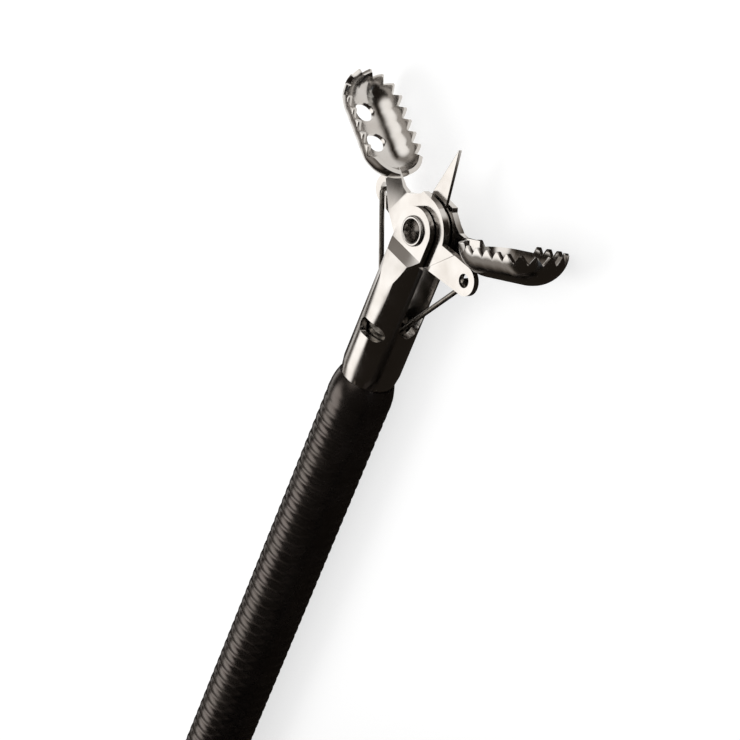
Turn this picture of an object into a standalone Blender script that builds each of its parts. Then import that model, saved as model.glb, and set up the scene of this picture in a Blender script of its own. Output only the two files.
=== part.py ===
"""Endoscopic biopsy forceps: toothed cup jaws with a central spike on a coiled flexible shaft.

Metres, +Z up. The forceps lie on a table. The origin is on the underside of the handle, where
its barrel runs into the thumb ring, and +X points to the thumb ring, which is also where the
jaws point. The shaft leaves the clevis towards -X, is wound into a round coil and comes back
along +X into the handle.

The jaw end is built about its pivot: x along the shaft to the tip, z along the pivot.
"""

import math

import bmesh
import bpy
from mathutils import Matrix, Vector

MM = 0.001
WELD = 1e-7

# Shaft and coil
SHAFT_RADIUS = 1.2 * MM
COIL_RADIUS = 20.0 * MM
COIL_PITCH = 2.45 * MM
COIL_LAYERS = 4
COIL_LAYER_TURNS = 3.875
COIL_AHEAD = 37.0 * MM
FACE_GAP = 0.3 * MM

# Jaw stack on the pivot, from the middle outwards
SPIKE_THICKNESS = 0.2 * MM
STACK_GAP = 0.05 * MM
TANG_THICKNESS = 0.25 * MM
EAR_THICKNESS = 0.21 * MM
RIVET_RADIUS = 0.5 * MM
RIVET_BORE = 0.38 * MM
RIVET_LIP = 0.1 * MM
RIVET_LIP_THICKNESS = 0.08 * MM
RIVET_CLEARANCE = 0.03 * MM
RIVET_LIP_GAP = 0.02 * MM

# Clevis
CLEVIS_RADIUS = 1.08 * MM
CLEVIS_REAR = 6.3 * MM
CLEVIS_BORE = 0.8 * MM
CLEVIS_NECK = 0.07 * MM
CLEVIS_NECK_LENGTH = 0.5 * MM
EAR_RADIUS = 0.87 * MM
EAR_FLAT_LENGTH = 0.75 * MM
EAR_FACET_LENGTH = 0.37 * MM
EAR_FACET_HEIGHT = 0.9 * MM
EAR_RAMP_LENGTH = 1.3 * MM
EAR_TAPER_START = 0.95 * MM
EAR_TAPER_END = 1.75 * MM
SLOT_BOTTOM = 3.9 * MM
WINDOW_WIDTH = 1.15 * MM
WINDOW_LENGTH = 0.6 * MM
WINDOW_BEHIND_PIVOT = 4.05 * MM
WINDOW_SIDE = 0.2 * MM
SHANK_LENGTH = 4.2 * MM
SHANK_WALL = 0.2 * MM
SHANK_CLEARANCE = 0.03 * MM

# Jaws
LEFT_OPEN = math.radians(62.3)
RIGHT_OPEN = math.radians(64.0)
TANG_RADIUS = 1.3 * MM
CUP_START = 2.25 * MM
CUP_LENGTH = 4.35 * MM
CUP_HALF_WIDTH = 1.25 * MM
CUP_DEPTH = 1.15 * MM
CUP_WALL = 0.16 * MM
RIM_GAP = 0.03 * MM
SMOOTH_RIM_END = 4.3 * MM
SMOOTH_RIM_DEPTH = 0.25 * MM
FLOOR_CLEARANCE = 0.01 * MM
TOOTH_PITCH = 0.5 * MM
TOOTH_DEPTH = 0.3 * MM
TOOTH_LAND = 0.07 * MM
TEETH_START = 2.75 * MM
HOLE_RADIUS = 0.37 * MM
HOLE_FROM_TIP = 1.25 * MM
HOLE_SPACING = 1.25 * MM
HOLE_LEAN = math.radians(6.0)
NECK_RADIUS = 0.43 * MM
NECK_BACK = 0.42 * MM
SPIKE_NOTCH_CLEARANCE = 0.1 * MM
TAIL_RADIUS = 2.82 * MM
TAIL_END_RADIUS = 0.53 * MM
TAIL_HOLE = 0.26 * MM
TAIL_ANGLE = math.radians(156.2)

# Spike
SPIKE_REACH = 3.3 * MM
SPIKE_HALF_WIDTH = 0.4 * MM
SPIKE_SHOULDER = 1.4 * MM
SPIKE_DISC = 1.1 * MM

# Pull wires, yoke and the end of the drive cable
WIRE_RADIUS = 0.1 * MM
WIRE_HOOK = 0.46 * MM
WIRE_BEND = 0.16 * MM
YOKE_BEHIND_PIVOT = 4.4 * MM
YOKE_WIRE_OFFSET = 0.3 * MM
YOKE_LENGTH = 1.5 * MM
YOKE_FRONT = 0.25 * MM
YOKE_SLOT_LENGTH = 0.75 * MM
YOKE_CLEARANCE = 0.08 * MM
WIRE_SLOT_CLEARANCE = 0.06 * MM
CABLE_RADIUS = 0.45 * MM
CABLE_SOCKET_DEPTH = 0.4 * MM
CABLE_CLEARANCE = 0.03 * MM
CABLE_STUB = 1.3 * MM

# Handle
HANDLE_HEIGHT = 13.0 * MM
HANDLE_AXIS_HEIGHT = HANDLE_HEIGHT / 2
THUMB_CENTRE = 16.0 * MM
THUMB_RADIUS = 15.0 * MM
THUMB_HOLE = 9.5 * MM
THUMB_EDGE = 2.2 * MM
WEB_START = -10.0 * MM
WEB_HALF_WIDTH = 5.5 * MM
BARREL_RADIUS = 4.5 * MM
BARREL_BORE = 2.6 * MM
BARREL_FRONT = -78.0 * MM
BARREL_SPIGOT_RADIUS = 3.6 * MM
BARREL_BORE_END = -20.0 * MM
NOSE_REAR = -70.0 * MM
NOSE_LENGTH = 12.7 * MM
NOSE_FRONT_RADIUS = 4.6 * MM
NOSE_SHOULDER_LENGTH = 7.0 * MM
NOSE_CLEARANCE = 0.15 * MM
FERRULE_RADIUS = 1.9 * MM
FERRULE_BORE = 1.0 * MM
FERRULE_LENGTH = 8.0 * MM
FERRULE_CLEARANCE = 0.15 * MM
BOOT_LENGTH = 20.0 * MM
BOOT_ROOT_RADIUS = 4.0 * MM
BOOT_MOUTH_RADIUS = 2.2 * MM

# Finger spool and what slides with it
SPOOL_TRAVEL = 10.0 * MM
SPOOL_PIN = -47.0 * MM
SPOOL_HALF_LENGTH = 12.0 * MM
SPOOL_RADIUS = 20.0 * MM
SPOOL_FLANGE = 3.5 * MM
SPOOL_WAIST_RADIUS = 9.5 * MM
SPOOL_WAIST_SHOULDER = 4.0 * MM
SPOOL_FLOOR_GAP = 0.3 * MM
SPOOL_CLEARANCE = 0.2 * MM
SPOOL_PARTING = 0.1 * MM
PIN_RADIUS = 1.0 * MM
PIN_RECESS = 0.3 * MM
PIN_CLEARANCE = 0.08 * MM
PIN_SLOT_CLEARANCE = 0.2 * MM
SLIDER_CLEARANCE = 0.15 * MM
SLIDER_FRONT = 6.0 * MM
SLIDER_REAR = 4.0 * MM
TUBE_RADIUS = 0.8 * MM
TUBE_BORE = 0.45 * MM
TUBE_SOCKET = 3.0 * MM
TUBE_CLEARANCE = 0.08 * MM
TUBE_REACH = 18.0 * MM
SCREW_RADIUS = 0.7 * MM
SCREW_FROM_FRONT = 1.5 * MM
SCREW_CLEARANCE = 0.08 * MM

# Places that follow from the sizes above
TANG_LOW = SPIKE_THICKNESS / 2 + STACK_GAP
TANG_HIGH = TANG_LOW + TANG_THICKNESS
SLOT_HALF_WIDTH = TANG_HIGH + STACK_GAP
EAR_FACE = SLOT_HALF_WIDTH + EAR_THICKNESS
RIVET_HOLE = RIVET_RADIUS + RIVET_CLEARANCE
SHANK_RADIUS = CLEVIS_BORE + SHANK_WALL
SHANK_END = CLEVIS_REAR + SHANK_LENGTH
COLLAR_END = SHANK_END + FACE_GAP
CUP_CENTRE = CUP_START + CUP_LENGTH / 2
CUP_SPREAD = CUP_LENGTH / 2 - CUP_HALF_WIDTH
NOSE_FRONT = NOSE_REAR - NOSE_LENGTH
BOOT_MOUTH = NOSE_FRONT - FACE_GAP - BOOT_LENGTH
COIL_INNER = COIL_RADIUS - COIL_LAYER_TURNS * COIL_PITCH - SHAFT_RADIUS
COIL_OUTER = COIL_RADIUS + SHAFT_RADIUS
COIL_HEIGHT = (COIL_LAYERS - 1) * COIL_PITCH + 2 * SHAFT_RADIUS
COIL_TOP_AXIS = COIL_HEIGHT - SHAFT_RADIUS
# A tube beside the coil ends where its inner edge would meet the turns.
TUBE_STOP = math.sqrt(COIL_OUTER**2 - (COIL_RADIUS - SHAFT_RADIUS) ** 2) + FACE_GAP
BOOT_STOP = math.sqrt(COIL_OUTER**2 - (COIL_RADIUS - BOOT_MOUTH_RADIUS) ** 2) + FACE_GAP
COIL_X = BOOT_MOUTH - BOOT_STOP - FACE_GAP
COIL_Y = COIL_RADIUS
TIP_HEIGHT = CUP_HALF_WIDTH + FLOOR_CLEARANCE
PIVOT = Vector((COIL_X + COIL_AHEAD, 2 * COIL_RADIUS, TIP_HEIGHT))

FINE = 40
MEDIUM = 28

PARTS = "biopsy_forceps"
CUTTERS = "cutters"

STEEL = ("polished_steel", (0.62, 0.61, 0.59, 1.0), 0.12, 1.0)
WIRE_STEEL = ("drawn_steel_wire", (0.42, 0.41, 0.40, 1.0), 0.3, 1.0)
JACKET = ("black_polymer_jacket", (0.012, 0.011, 0.011, 1.0), 0.38, 0.0)
RUBBER = ("black_soft_boot", (0.02, 0.02, 0.02, 1.0), 0.6, 0.0)
WHITE = ("white_moulded_plastic", (0.78, 0.78, 0.76, 1.0), 0.4, 0.0)
GREY = ("grey_moulded_plastic", (0.2, 0.21, 0.23, 1.0), 0.45, 0.0)


def clear_scene():
    for item in list(bpy.data.objects):
        bpy.data.objects.remove(item, do_unlink=True)


def collection(name):
    found = bpy.data.collections.get(name)
    if found is None:
        found = bpy.data.collections.new(name)
        bpy.context.scene.collection.children.link(found)
    return found


def finish(item, look):
    """Gives a sub-part its own material and puts it with the parts."""
    kind, colour, roughness, metallic = look
    material = bpy.data.materials.new(f"{item.name}_{kind}")
    material.use_nodes = True
    shader = material.node_tree.nodes["Principled BSDF"]
    shader.inputs["Base Color"].default_value = colour
    shader.inputs["Roughness"].default_value = roughness
    shader.inputs["Metallic"].default_value = metallic
    item.data.materials.clear()
    item.data.materials.append(material)
    item.data.shade_smooth()
    item.data.set_sharp_from_angle(angle=math.radians(35))
    for owner in list(item.users_collection):
        owner.objects.unlink(item)
    collection(PARTS).objects.link(item)
    return item


def object_from(name, shape):
    """An object in the cutters' collection, until finish() moves it."""
    mesh = bpy.data.meshes.new(name)
    shape.to_mesh(mesh)
    shape.free()
    item = bpy.data.objects.new(name, mesh)
    collection(CUTTERS).objects.link(item)
    return item


def along_x():
    return Matrix.Rotation(math.pi / 2, 4, "Y")


def along_y():
    return Matrix.Rotation(-math.pi / 2, 4, "X")


def cylinder(name, radius, start, end, turn=None, centre=(0, 0), segments=MEDIUM):
    """A cylinder from start to end on z, or turned onto another axis."""
    shape = bmesh.new()
    bmesh.ops.create_cone(
        shape,
        cap_ends=True,
        segments=segments,
        radius1=radius,
        radius2=radius,
        depth=end - start,
        matrix=Matrix.Translation((centre[0], centre[1], (start + end) / 2)),
    )
    if turn is not None:
        bmesh.ops.transform(shape, matrix=turn, verts=shape.verts)
    return object_from(name, shape)


def box(name, low, high):
    shape = bmesh.new()
    bmesh.ops.create_cube(shape, size=1.0)
    size = Vector(high) - Vector(low)
    middle = (Vector(high) + Vector(low)) / 2
    place = Matrix.Translation(middle) @ Matrix.Diagonal((*size, 1.0))
    bmesh.ops.transform(shape, matrix=place, verts=shape.verts)
    return object_from(name, shape)


def real_mesh(item):
    """Replaces an object, a curve too, by the mesh that it evaluates to, with its caps welded."""
    graph = bpy.context.evaluated_depsgraph_get()
    mesh = bpy.data.meshes.new_from_object(item.evaluated_get(graph))
    shape = bmesh.new()
    shape.from_mesh(mesh)
    bmesh.ops.remove_doubles(shape, verts=shape.verts, dist=WELD)
    bmesh.ops.recalc_face_normals(shape, faces=shape.faces)
    bmesh.ops.transform(shape, matrix=item.matrix_world, verts=shape.verts)
    name = item.name
    bpy.data.objects.remove(item, do_unlink=True)
    return object_from(name, shape)


def turned(name, profile, segments=FINE):
    """A profile of (radius, x) points, from high x to low x on its outer side, turned about x."""
    mesh = bpy.data.meshes.new(name)
    points = [(radius, 0.0, along) for radius, along in profile]
    on_axis = profile[0][0] == 0 and profile[-1][0] == 0
    edges = [(i, i + 1) for i in range(len(points) - 1)]
    if not on_axis:
        edges.append((len(points) - 1, 0))
    mesh.from_pydata(points, edges, [])
    item = bpy.data.objects.new(name, mesh)
    collection(CUTTERS).objects.link(item)
    screw = item.modifiers.new("turning", "SCREW")
    screw.axis = "Z"
    screw.steps = segments
    screw.render_steps = segments
    screw.use_merge_vertices = True
    screw.merge_threshold = WELD
    bpy.context.view_layer.update()
    solid = real_mesh(item)
    solid.data.transform(along_x())
    return solid


def plate(name, outline, low, high, turn=None):
    """A flat outline in x and y, from low to high on z, or turned onto another axis."""
    curve = bpy.data.curves.new(name, "CURVE")
    curve.dimensions = "2D"
    curve.fill_mode = "BOTH"
    curve.extrude = (high - low) / 2
    spline = curve.splines.new("POLY")
    spline.points.add(len(outline) - 1)
    for point, (x, y) in zip(spline.points, outline):
        point.co = (x, y, 0.0, 1.0)
    spline.use_cyclic_u = True
    item = bpy.data.objects.new(name, curve)
    item.location.z = (low + high) / 2
    collection(CUTTERS).objects.link(item)
    bpy.context.view_layer.update()
    solid = real_mesh(item)
    if turn is not None:
        solid.data.transform(turn)
    return solid


def tube(name, points, radii, sides_setting=2):
    """A round rod along points, with one radius or a radius at each point."""
    curve = bpy.data.curves.new(name, "CURVE")
    curve.dimensions = "3D"
    curve.bevel_depth = 1.0
    curve.bevel_resolution = sides_setting
    curve.use_fill_caps = True
    spline = curve.splines.new("POLY")
    spline.points.add(len(points) - 1)
    for number, (point, place) in enumerate(zip(spline.points, points)):
        point.co = (*place, 1.0)
        point.radius = radii[number] if isinstance(radii, list) else radii
    item = bpy.data.objects.new(name, curve)
    collection(CUTTERS).objects.link(item)
    bpy.context.view_layer.update()
    return real_mesh(item)


def arc(centre, radius, start, end, steps):
    """Points on an arc, angles in radians."""
    turn = [start + (end - start) * i / steps for i in range(steps + 1)]
    return [(centre[0] + radius * math.cos(a), centre[1] + radius * math.sin(a)) for a in turn]


def bar_outline(first, first_radius, second, second_radius, steps=12):
    """The outline round two circles and the straight sides that touch both."""
    dx, dy = second[0] - first[0], second[1] - first[1]
    heading = math.atan2(dy, dx)
    lean = math.acos((first_radius - second_radius) / math.hypot(dx, dy))
    far = arc(second, second_radius, heading - lean, heading + lean, steps)
    near = arc(first, first_radius, heading + lean, heading + 2 * math.pi - lean, 2 * steps)
    return far + near


def combine(target, tool, operation):
    """Cuts or joins with an exact Boolean and removes the tool."""
    change = target.modifiers.new(operation.lower(), "BOOLEAN")
    change.operation = operation
    change.solver = "EXACT"
    change.object = tool
    bpy.context.view_layer.update()
    graph = bpy.context.evaluated_depsgraph_get()
    mesh = bpy.data.meshes.new_from_object(target.evaluated_get(graph))
    target.modifiers.clear()
    target.data = mesh
    bpy.data.objects.remove(tool, do_unlink=True)
    shape = bmesh.new()
    shape.from_mesh(mesh)
    bmesh.ops.remove_doubles(shape, verts=shape.verts, dist=WELD)
    bmesh.ops.dissolve_degenerate(shape, edges=shape.edges, dist=WELD)
    shape.to_mesh(mesh)
    shape.free()
    return target


def cut(target, *tools):
    for tool in tools:
        combine(target, tool, "DIFFERENCE")
    return target


def join(target, *tools):
    for tool in tools:
        combine(target, tool, "UNION")
    return target


def keep_inside(target, *tools):
    for tool in tools:
        combine(target, tool, "INTERSECT")
    return target


def placed(item, look, parent=None, location=None, turn=0.0, flip=False):
    """Names, dresses and places a finished sub-part; a moving one has its origin on its axis."""
    finish(item, look)
    if location is not None:
        item.location = location
    item.rotation_euler = (math.pi if flip else 0.0, 0.0, turn)
    item.parent = parent
    return item


def empty(name, location):
    item = bpy.data.objects.new(name, None)
    item.location = location
    collection(PARTS).objects.link(item)
    return item


# The jaw end, about the pivot


def clevis():
    """Round housing, slotted and flattened to two ears, with its shank behind."""
    reach = EAR_RADIUS + EAR_THICKNESS
    body = clevis_blank(reach, CLEVIS_RADIUS - CLEVIS_NECK)
    wide = 2 * CLEVIS_RADIUS
    facet = EAR_FLAT_LENGTH + EAR_FACET_LENGTH
    ramp = facet + EAR_RAMP_LENGTH
    side = [
        (2 * reach, -EAR_FACE),
        (2 * reach, EAR_FACE),
        (-EAR_FLAT_LENGTH, EAR_FACE),
        (-facet, EAR_FACET_HEIGHT),
        (-ramp, CLEVIS_RADIUS),
        (-ramp, wide),
        (-2 * SHANK_END, wide),
        (-2 * SHANK_END, -wide),
        (-ramp, -wide),
        (-ramp, -CLEVIS_RADIUS),
        (-facet, -EAR_FACET_HEIGHT),
        (-EAR_FLAT_LENGTH, -EAR_FACE),
    ]
    keep_inside(body, plate("side_form", side, -wide, wide, Matrix.Rotation(math.pi / 2, 4, "X")))
    nose = arc((0, 0), EAR_RADIUS, -math.pi / 2, math.pi / 2, 20)
    plan = nose + [
        (-EAR_TAPER_START, EAR_RADIUS),
        (-EAR_TAPER_END, wide),
        (-2 * SHANK_END, wide),
        (-2 * SHANK_END, -wide),
        (-EAR_TAPER_END, -wide),
        (-EAR_TAPER_START, -EAR_RADIUS),
    ]
    keep_inside(body, plate("plan_form", plan, -wide, wide))
    slot_end = -SLOT_BOTTOM + SLOT_HALF_WIDTH
    slot = arc((slot_end, 0), SLOT_HALF_WIDTH, math.pi / 2, 3 * math.pi / 2, 12) + [
        (2 * reach, -SLOT_HALF_WIDTH),
        (2 * reach, SLOT_HALF_WIDTH),
    ]
    cut(body, plate("slot", slot, -wide, wide, Matrix.Rotation(math.pi / 2, 4, "X")))
    cut(body, cylinder("pivot_hole", RIVET_HOLE, -wide, wide))
    half = (WINDOW_WIDTH - WINDOW_LENGTH) / 2
    window = bar_outline(
        (-WINDOW_BEHIND_PIVOT, -WINDOW_SIDE - half),
        WINDOW_LENGTH / 2,
        (-WINDOW_BEHIND_PIVOT, -WINDOW_SIDE + half),
        WINDOW_LENGTH / 2,
        8,
    )
    cut(body, plate("window", window, 0.0, wide))
    return placed(body, STEEL, location=PIVOT)


def clevis_blank(reach, neck):
    """The turned blank, bored from behind, before it is slotted."""
    blank = turned(
        "clevis",
        [
            (0.0, reach),
            (CLEVIS_RADIUS, reach),
            (CLEVIS_RADIUS, -CLEVIS_REAR + CLEVIS_NECK_LENGTH),
            (neck, -CLEVIS_REAR),
            (SHANK_RADIUS, -CLEVIS_REAR),
            (SHANK_RADIUS, -SHANK_END),
            (0.0, -SHANK_END),
        ],
    )
    bore_end = -SLOT_BOTTOM + SLOT_HALF_WIDTH
    return cut(blank, cylinder("bore", CLEVIS_BORE, -2 * SHANK_END, bore_end, along_x(), segments=FINE))


def pivot_rivet():
    """Hollow rivet with its two rolled lips on the ears."""
    lip_start = EAR_FACE + RIVET_LIP_GAP
    end = lip_start + RIVET_LIP_THICKNESS
    lip = RIVET_RADIUS + RIVET_LIP
    rivet = cylinder("pivot_rivet", RIVET_RADIUS, -end, end, segments=FINE)
    join(rivet, cylinder("upper_lip", lip, lip_start, end, segments=FINE))
    join(rivet, cylinder("lower_lip", lip, -end, -lip_start, segments=FINE))
    cut(rivet, cylinder("rivet_bore", RIVET_BORE, -2 * end, 2 * end, segments=FINE))
    return placed(rivet, STEEL, location=PIVOT)


def center_spike():
    """Flat pointed blade that pins the tissue, on a disc round the rivet."""
    half = SPIKE_THICKNESS / 2
    blade = [
        (0.0, -SPIKE_HALF_WIDTH),
        (SPIKE_SHOULDER, -SPIKE_HALF_WIDTH),
        (SPIKE_REACH, 0.0),
        (SPIKE_SHOULDER, SPIKE_HALF_WIDTH),
        (0.0, SPIKE_HALF_WIDTH),
    ]
    spike = cylinder("center_spike", SPIKE_DISC, -half, half)
    join(spike, plate("blade", blade, -half, half))
    cut(spike, cylinder("spike_hole", RIVET_HOLE, -1 * MM, 1 * MM))
    return placed(spike, STEEL, location=PIVOT)


def cup_solid(name, shrink):
    """A long egg: a ball of the cup's width and depth, drawn out along x, shrunk by shrink."""
    shape = bmesh.new()
    bmesh.ops.create_uvsphere(shape, u_segments=MEDIUM, v_segments=16, radius=1.0)
    bmesh.ops.transform(shape, matrix=along_x(), verts=shape.verts)
    for point in shape.verts:
        side = 0.0 if abs(point.co.x) < 0.01 else math.copysign(1.0, point.co.x)
        point.co.x = CUP_CENTRE + side * CUP_SPREAD + point.co.x * (CUP_HALF_WIDTH - shrink)
        point.co.y *= CUP_DEPTH - shrink
        point.co.z *= CUP_HALF_WIDTH - shrink
    return object_from(name, shape)


def rim_stations():
    """(x, z, direction) along the rim, one for each gap between teeth, round the tip and back."""
    radius = CUP_HALF_WIDTH - CUP_WALL / 2
    turn_x = CUP_CENTRE + CUP_SPREAD
    side = turn_x - TEETH_START
    bend = math.pi * radius
    gaps = int((2 * side + bend) / TOOTH_PITCH)
    first = (2 * side + bend - (gaps - 1) * TOOTH_PITCH) / 2
    found = []
    for number in range(gaps):
        way = first + number * TOOTH_PITCH
        if way < side:
            found.append((TEETH_START + way, -radius, -math.pi / 2))
        elif way < side + bend:
            angle = -math.pi / 2 + (way - side) / radius
            found.append((turn_x + radius * math.cos(angle), radius * math.sin(angle), angle))
        else:
            found.append((turn_x - (way - side - bend), radius, math.pi / 2))
    return found


def tooth_gaps(smooth_end):
    """The V-shaped prisms that leave the teeth standing, all in one cutter.

    The rim on the tang's side stays smooth up to smooth_end.
    """
    gap = (TOOTH_PITCH - TOOTH_LAND) / 2
    above = TOOTH_DEPTH / 3
    slope = gap / TOOTH_DEPTH
    wide = gap + slope * above
    outline = [(-wide, RIM_GAP - above), (0.0, RIM_GAP + TOOTH_DEPTH), (wide, RIM_GAP - above)]
    reach = 2 * CUP_WALL
    cutters = bmesh.new()
    for x, z, angle in rim_stations():
        if z > 0 and x < smooth_end:
            continue
        prism = plate("gap", outline, -reach, reach)
        across = Matrix.Translation((x, 0.0, z)) @ Matrix.Rotation(math.pi / 2 - angle, 4, "Y")
        prism.data.transform(across)
        cutters.from_mesh(prism.data)
        bpy.data.objects.remove(prism, do_unlink=True)
    return object_from("tooth_gaps", cutters)


def jaw(name, hole_side, smooth_end):
    """One stamped jaw along x: a cup open to -y, its neck, the tang on the pivot and the tail."""
    neck_end = (CUP_START + NECK_RADIUS, NECK_BACK)
    shell = cup_solid(name, 0.0)
    neck = bar_outline((0.0, 0.0), TANG_RADIUS, neck_end, NECK_RADIUS)
    join(shell, plate("neck", neck, TANG_LOW, TANG_HIGH))
    cut(shell, cup_solid("cavity", CUP_WALL))
    far = CUP_START + 2 * CUP_LENGTH
    rim_start = TANG_RADIUS + (CUP_START - TANG_RADIUS) / 2
    cut(shell, box("rim_plane", (rim_start, -2 * CUP_DEPTH, -far), (far, RIM_GAP, far)))
    notch = SPIKE_THICKNESS / 2 + SPIKE_NOTCH_CLEARANCE
    notch_depth = SPIKE_HALF_WIDTH
    notch_end = CUP_START + 3 * CUP_WALL
    cut(shell, box("spike_notch", (rim_start, -notch_depth, -notch), (notch_end, notch_depth, notch)))
    cut(shell, tooth_gaps(smooth_end))
    if smooth_end > CUP_START:
        low = (rim_start, -CUP_DEPTH, TANG_HIGH + STACK_GAP)
        cut(shell, box("smooth_rim", low, (smooth_end, RIM_GAP + SMOOTH_RIM_DEPTH, far)))
    tail_end = (TAIL_RADIUS * math.cos(TAIL_ANGLE), -TAIL_RADIUS * math.sin(TAIL_ANGLE))
    tail = bar_outline((0.0, 0.0), TANG_RADIUS, tail_end, TAIL_END_RADIUS)
    join(shell, plate("tail", tail, TANG_LOW, TANG_HIGH))
    cut(shell, cylinder("pivot_hole", RIVET_HOLE, -1 * MM, 1 * MM))
    cut(shell, cylinder("tail_hole", TAIL_HOLE, -1 * MM, 1 * MM, centre=tail_end, segments=20))
    tilt = Matrix.Rotation(hole_side * HOLE_LEAN, 4, "X") @ along_y()
    for number in range(2):
        x = CUP_START + CUP_LENGTH - HOLE_FROM_TIP - number * HOLE_SPACING
        opening = cylinder("opening", HOLE_RADIUS, 0.0, 2 * CUP_DEPTH, tilt, segments=24)
        opening.data.transform(Matrix.Translation((x, 0.0, 0.0)))
        cut(shell, opening)
    return shell


def jaws():
    """Both jaws: the right one is turned half round the shaft, with fewer teeth on one rim."""
    left = placed(jaw("jaw_left", -1, CUP_START), STEEL, location=PIVOT, turn=LEFT_OPEN)
    right = placed(jaw("jaw_right", 1, SMOOTH_RIM_END), STEEL, location=PIVOT, turn=-RIGHT_OPEN, flip=True)
    return left, right


def tail_hole_at(side):
    """Where a tail's hole lies, from the pivot: side is 1 for the left jaw's tail."""
    angle = (LEFT_OPEN if side > 0 else RIGHT_OPEN) - TAIL_ANGLE
    return Vector((TAIL_RADIUS * math.cos(angle), side * TAIL_RADIUS * math.sin(angle), 0.0))


def pull_wire(name, side):
    """Straight wire from its seat in the yoke, with its end bent through the hole of its tail."""
    seat = Vector((-YOKE_BEHIND_PIVOT, -side * YOKE_WIRE_OFFSET, 0.0))
    end = tail_hole_at(side) - seat
    way = end.normalized()
    across = Vector((0, 0, side))
    bend = [
        end + way * WIRE_BEND * (math.sin(turn) - 1) + across * WIRE_BEND * (1 - math.cos(turn))
        for turn in (math.radians(a) for a in (0, 22.5, 45, 67.5, 90))
    ]
    line = [Vector((0, 0, 0)), end / 2] + bend + [end + across * WIRE_HOOK]
    return placed(tube(name, line, WIRE_RADIUS), WIRE_STEEL, location=PIVOT + seat)


def wire_yoke():
    """Slotted slug in the clevis bore that carries the two pull wires."""
    front = -YOKE_BEHIND_PIVOT + YOKE_FRONT
    rear = front - YOKE_LENGTH
    radius = CLEVIS_BORE - YOKE_CLEARANCE
    yoke = cylinder("wire_yoke", radius, rear, front, along_x(), segments=24)
    half = WIRE_RADIUS + WIRE_SLOT_CLEARANCE
    cut(yoke, box("wire_slot", (front - YOKE_SLOT_LENGTH, -1 * MM, -half), (0.0, 1 * MM, half)))
    socket = CABLE_RADIUS + CABLE_CLEARANCE
    cut(yoke, cylinder("socket", socket, rear - MM, rear + CABLE_SOCKET_DEPTH, along_x(), segments=20))
    return placed(yoke, WIRE_STEEL, location=PIVOT)


def drive_cable():
    """End of the drive cable, seated in the yoke."""
    seat = -YOKE_BEHIND_PIVOT + YOKE_FRONT - YOKE_LENGTH + CABLE_SOCKET_DEPTH - CABLE_CLEARANCE
    end = seat - CABLE_SOCKET_DEPTH - CABLE_STUB
    cable = cylinder("drive_cable", CABLE_RADIUS, end, seat, along_x(), segments=16)
    return placed(cable, WIRE_STEEL, location=PIVOT)


# The sheath


def sheath_collar():
    """Front end of the sheath, over the clevis shank."""
    inner = SHANK_RADIUS + SHANK_CLEARANCE
    front = -CLEVIS_REAR - SHANK_CLEARANCE
    shoulder = SHAFT_RADIUS - CLEVIS_RADIUS
    collar = turned(
        "sheath_collar",
        [
            (CLEVIS_RADIUS, front),
            (SHAFT_RADIUS, front - 4 * shoulder),
            (SHAFT_RADIUS, -COLLAR_END),
            (inner, -COLLAR_END),
            (inner, front),
        ],
    )
    return placed(collar, JACKET, location=PIVOT)


def sheath_run():
    """Straight stretch from the collar to the coil."""
    start = PIVOT.x - COLLAR_END - FACE_GAP
    end = COIL_X + TUBE_STOP
    steps = int((start - end) / (5 * SHAFT_RADIUS))
    front = Vector((start, PIVOT.y, TIP_HEIGHT))
    rear = Vector((end, PIVOT.y, SHAFT_RADIUS))
    points = [front.lerp(rear, i / steps) for i in range(steps + 1)]
    return placed(tube("sheath_run", points, SHAFT_RADIUS), JACKET)


def sheath_coil():
    """Outer form of the wound turns."""
    corner = SHAFT_RADIUS / 2
    profile = [
        (COIL_INNER + corner, COIL_HEIGHT),
        (COIL_OUTER - corner, COIL_HEIGHT),
        (COIL_OUTER, COIL_HEIGHT - corner),
        (COIL_OUTER, corner),
        (COIL_OUTER - corner, 0.0),
        (COIL_INNER + corner, 0.0),
        (COIL_INNER, corner),
        (COIL_INNER, COIL_HEIGHT - corner),
    ]
    ring = turned("sheath_coil", profile, 48)
    ring.data.transform(Matrix.Rotation(-math.pi / 2, 4, "Y"))
    return placed(ring, JACKET, location=(COIL_X, COIL_Y, 0.0))


def tail_height(x):
    """Height of the shaft's axis between the coil's top layer and the nose of the handle."""
    start = COIL_X + TUBE_STOP
    share = min(max((x - start) / (NOSE_FRONT - start), 0.0), 1.0)
    ease = share * share * (3 - 2 * share)
    return COIL_TOP_AXIS + (HANDLE_AXIS_HEIGHT - COIL_TOP_AXIS) * ease


def route(start, end, step):
    count = max(2, math.ceil(abs(end - start) / step))
    xs = [start + (end - start) * i / count for i in range(count + 1)]
    return [(x, 0.0, tail_height(x)) for x in xs]


def sheath_tail():
    """Last stretch, from the coil through the boot to the ferrule."""
    end = NOSE_FRONT - 2 * FACE_GAP
    points = route(COIL_X + TUBE_STOP, end, 5 * SHAFT_RADIUS / 2)
    return placed(tube("sheath_tail", points, SHAFT_RADIUS), JACKET)


# The handle


def strain_relief():
    """Soft tapered boot that follows the sheath into the nose cap."""
    points = route(BOOT_MOUTH, BOOT_MOUTH + BOOT_LENGTH, BOOT_LENGTH / 10)
    shares = [i / (len(points) - 1) for i in range(len(points))]
    radii = [BOOT_MOUTH_RADIUS + (BOOT_ROOT_RADIUS - BOOT_MOUTH_RADIUS) * s**1.3 for s in shares]
    boot = tube("strain_relief", points, radii, 6)
    spare = BOOT_LENGTH / 10
    bore = route(BOOT_MOUTH - spare, BOOT_MOUTH + BOOT_LENGTH + spare, spare)
    cut(boot, tube("boot_bore", bore, SHAFT_RADIUS + FACE_GAP, 4))
    return placed(boot, RUBBER)


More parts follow.
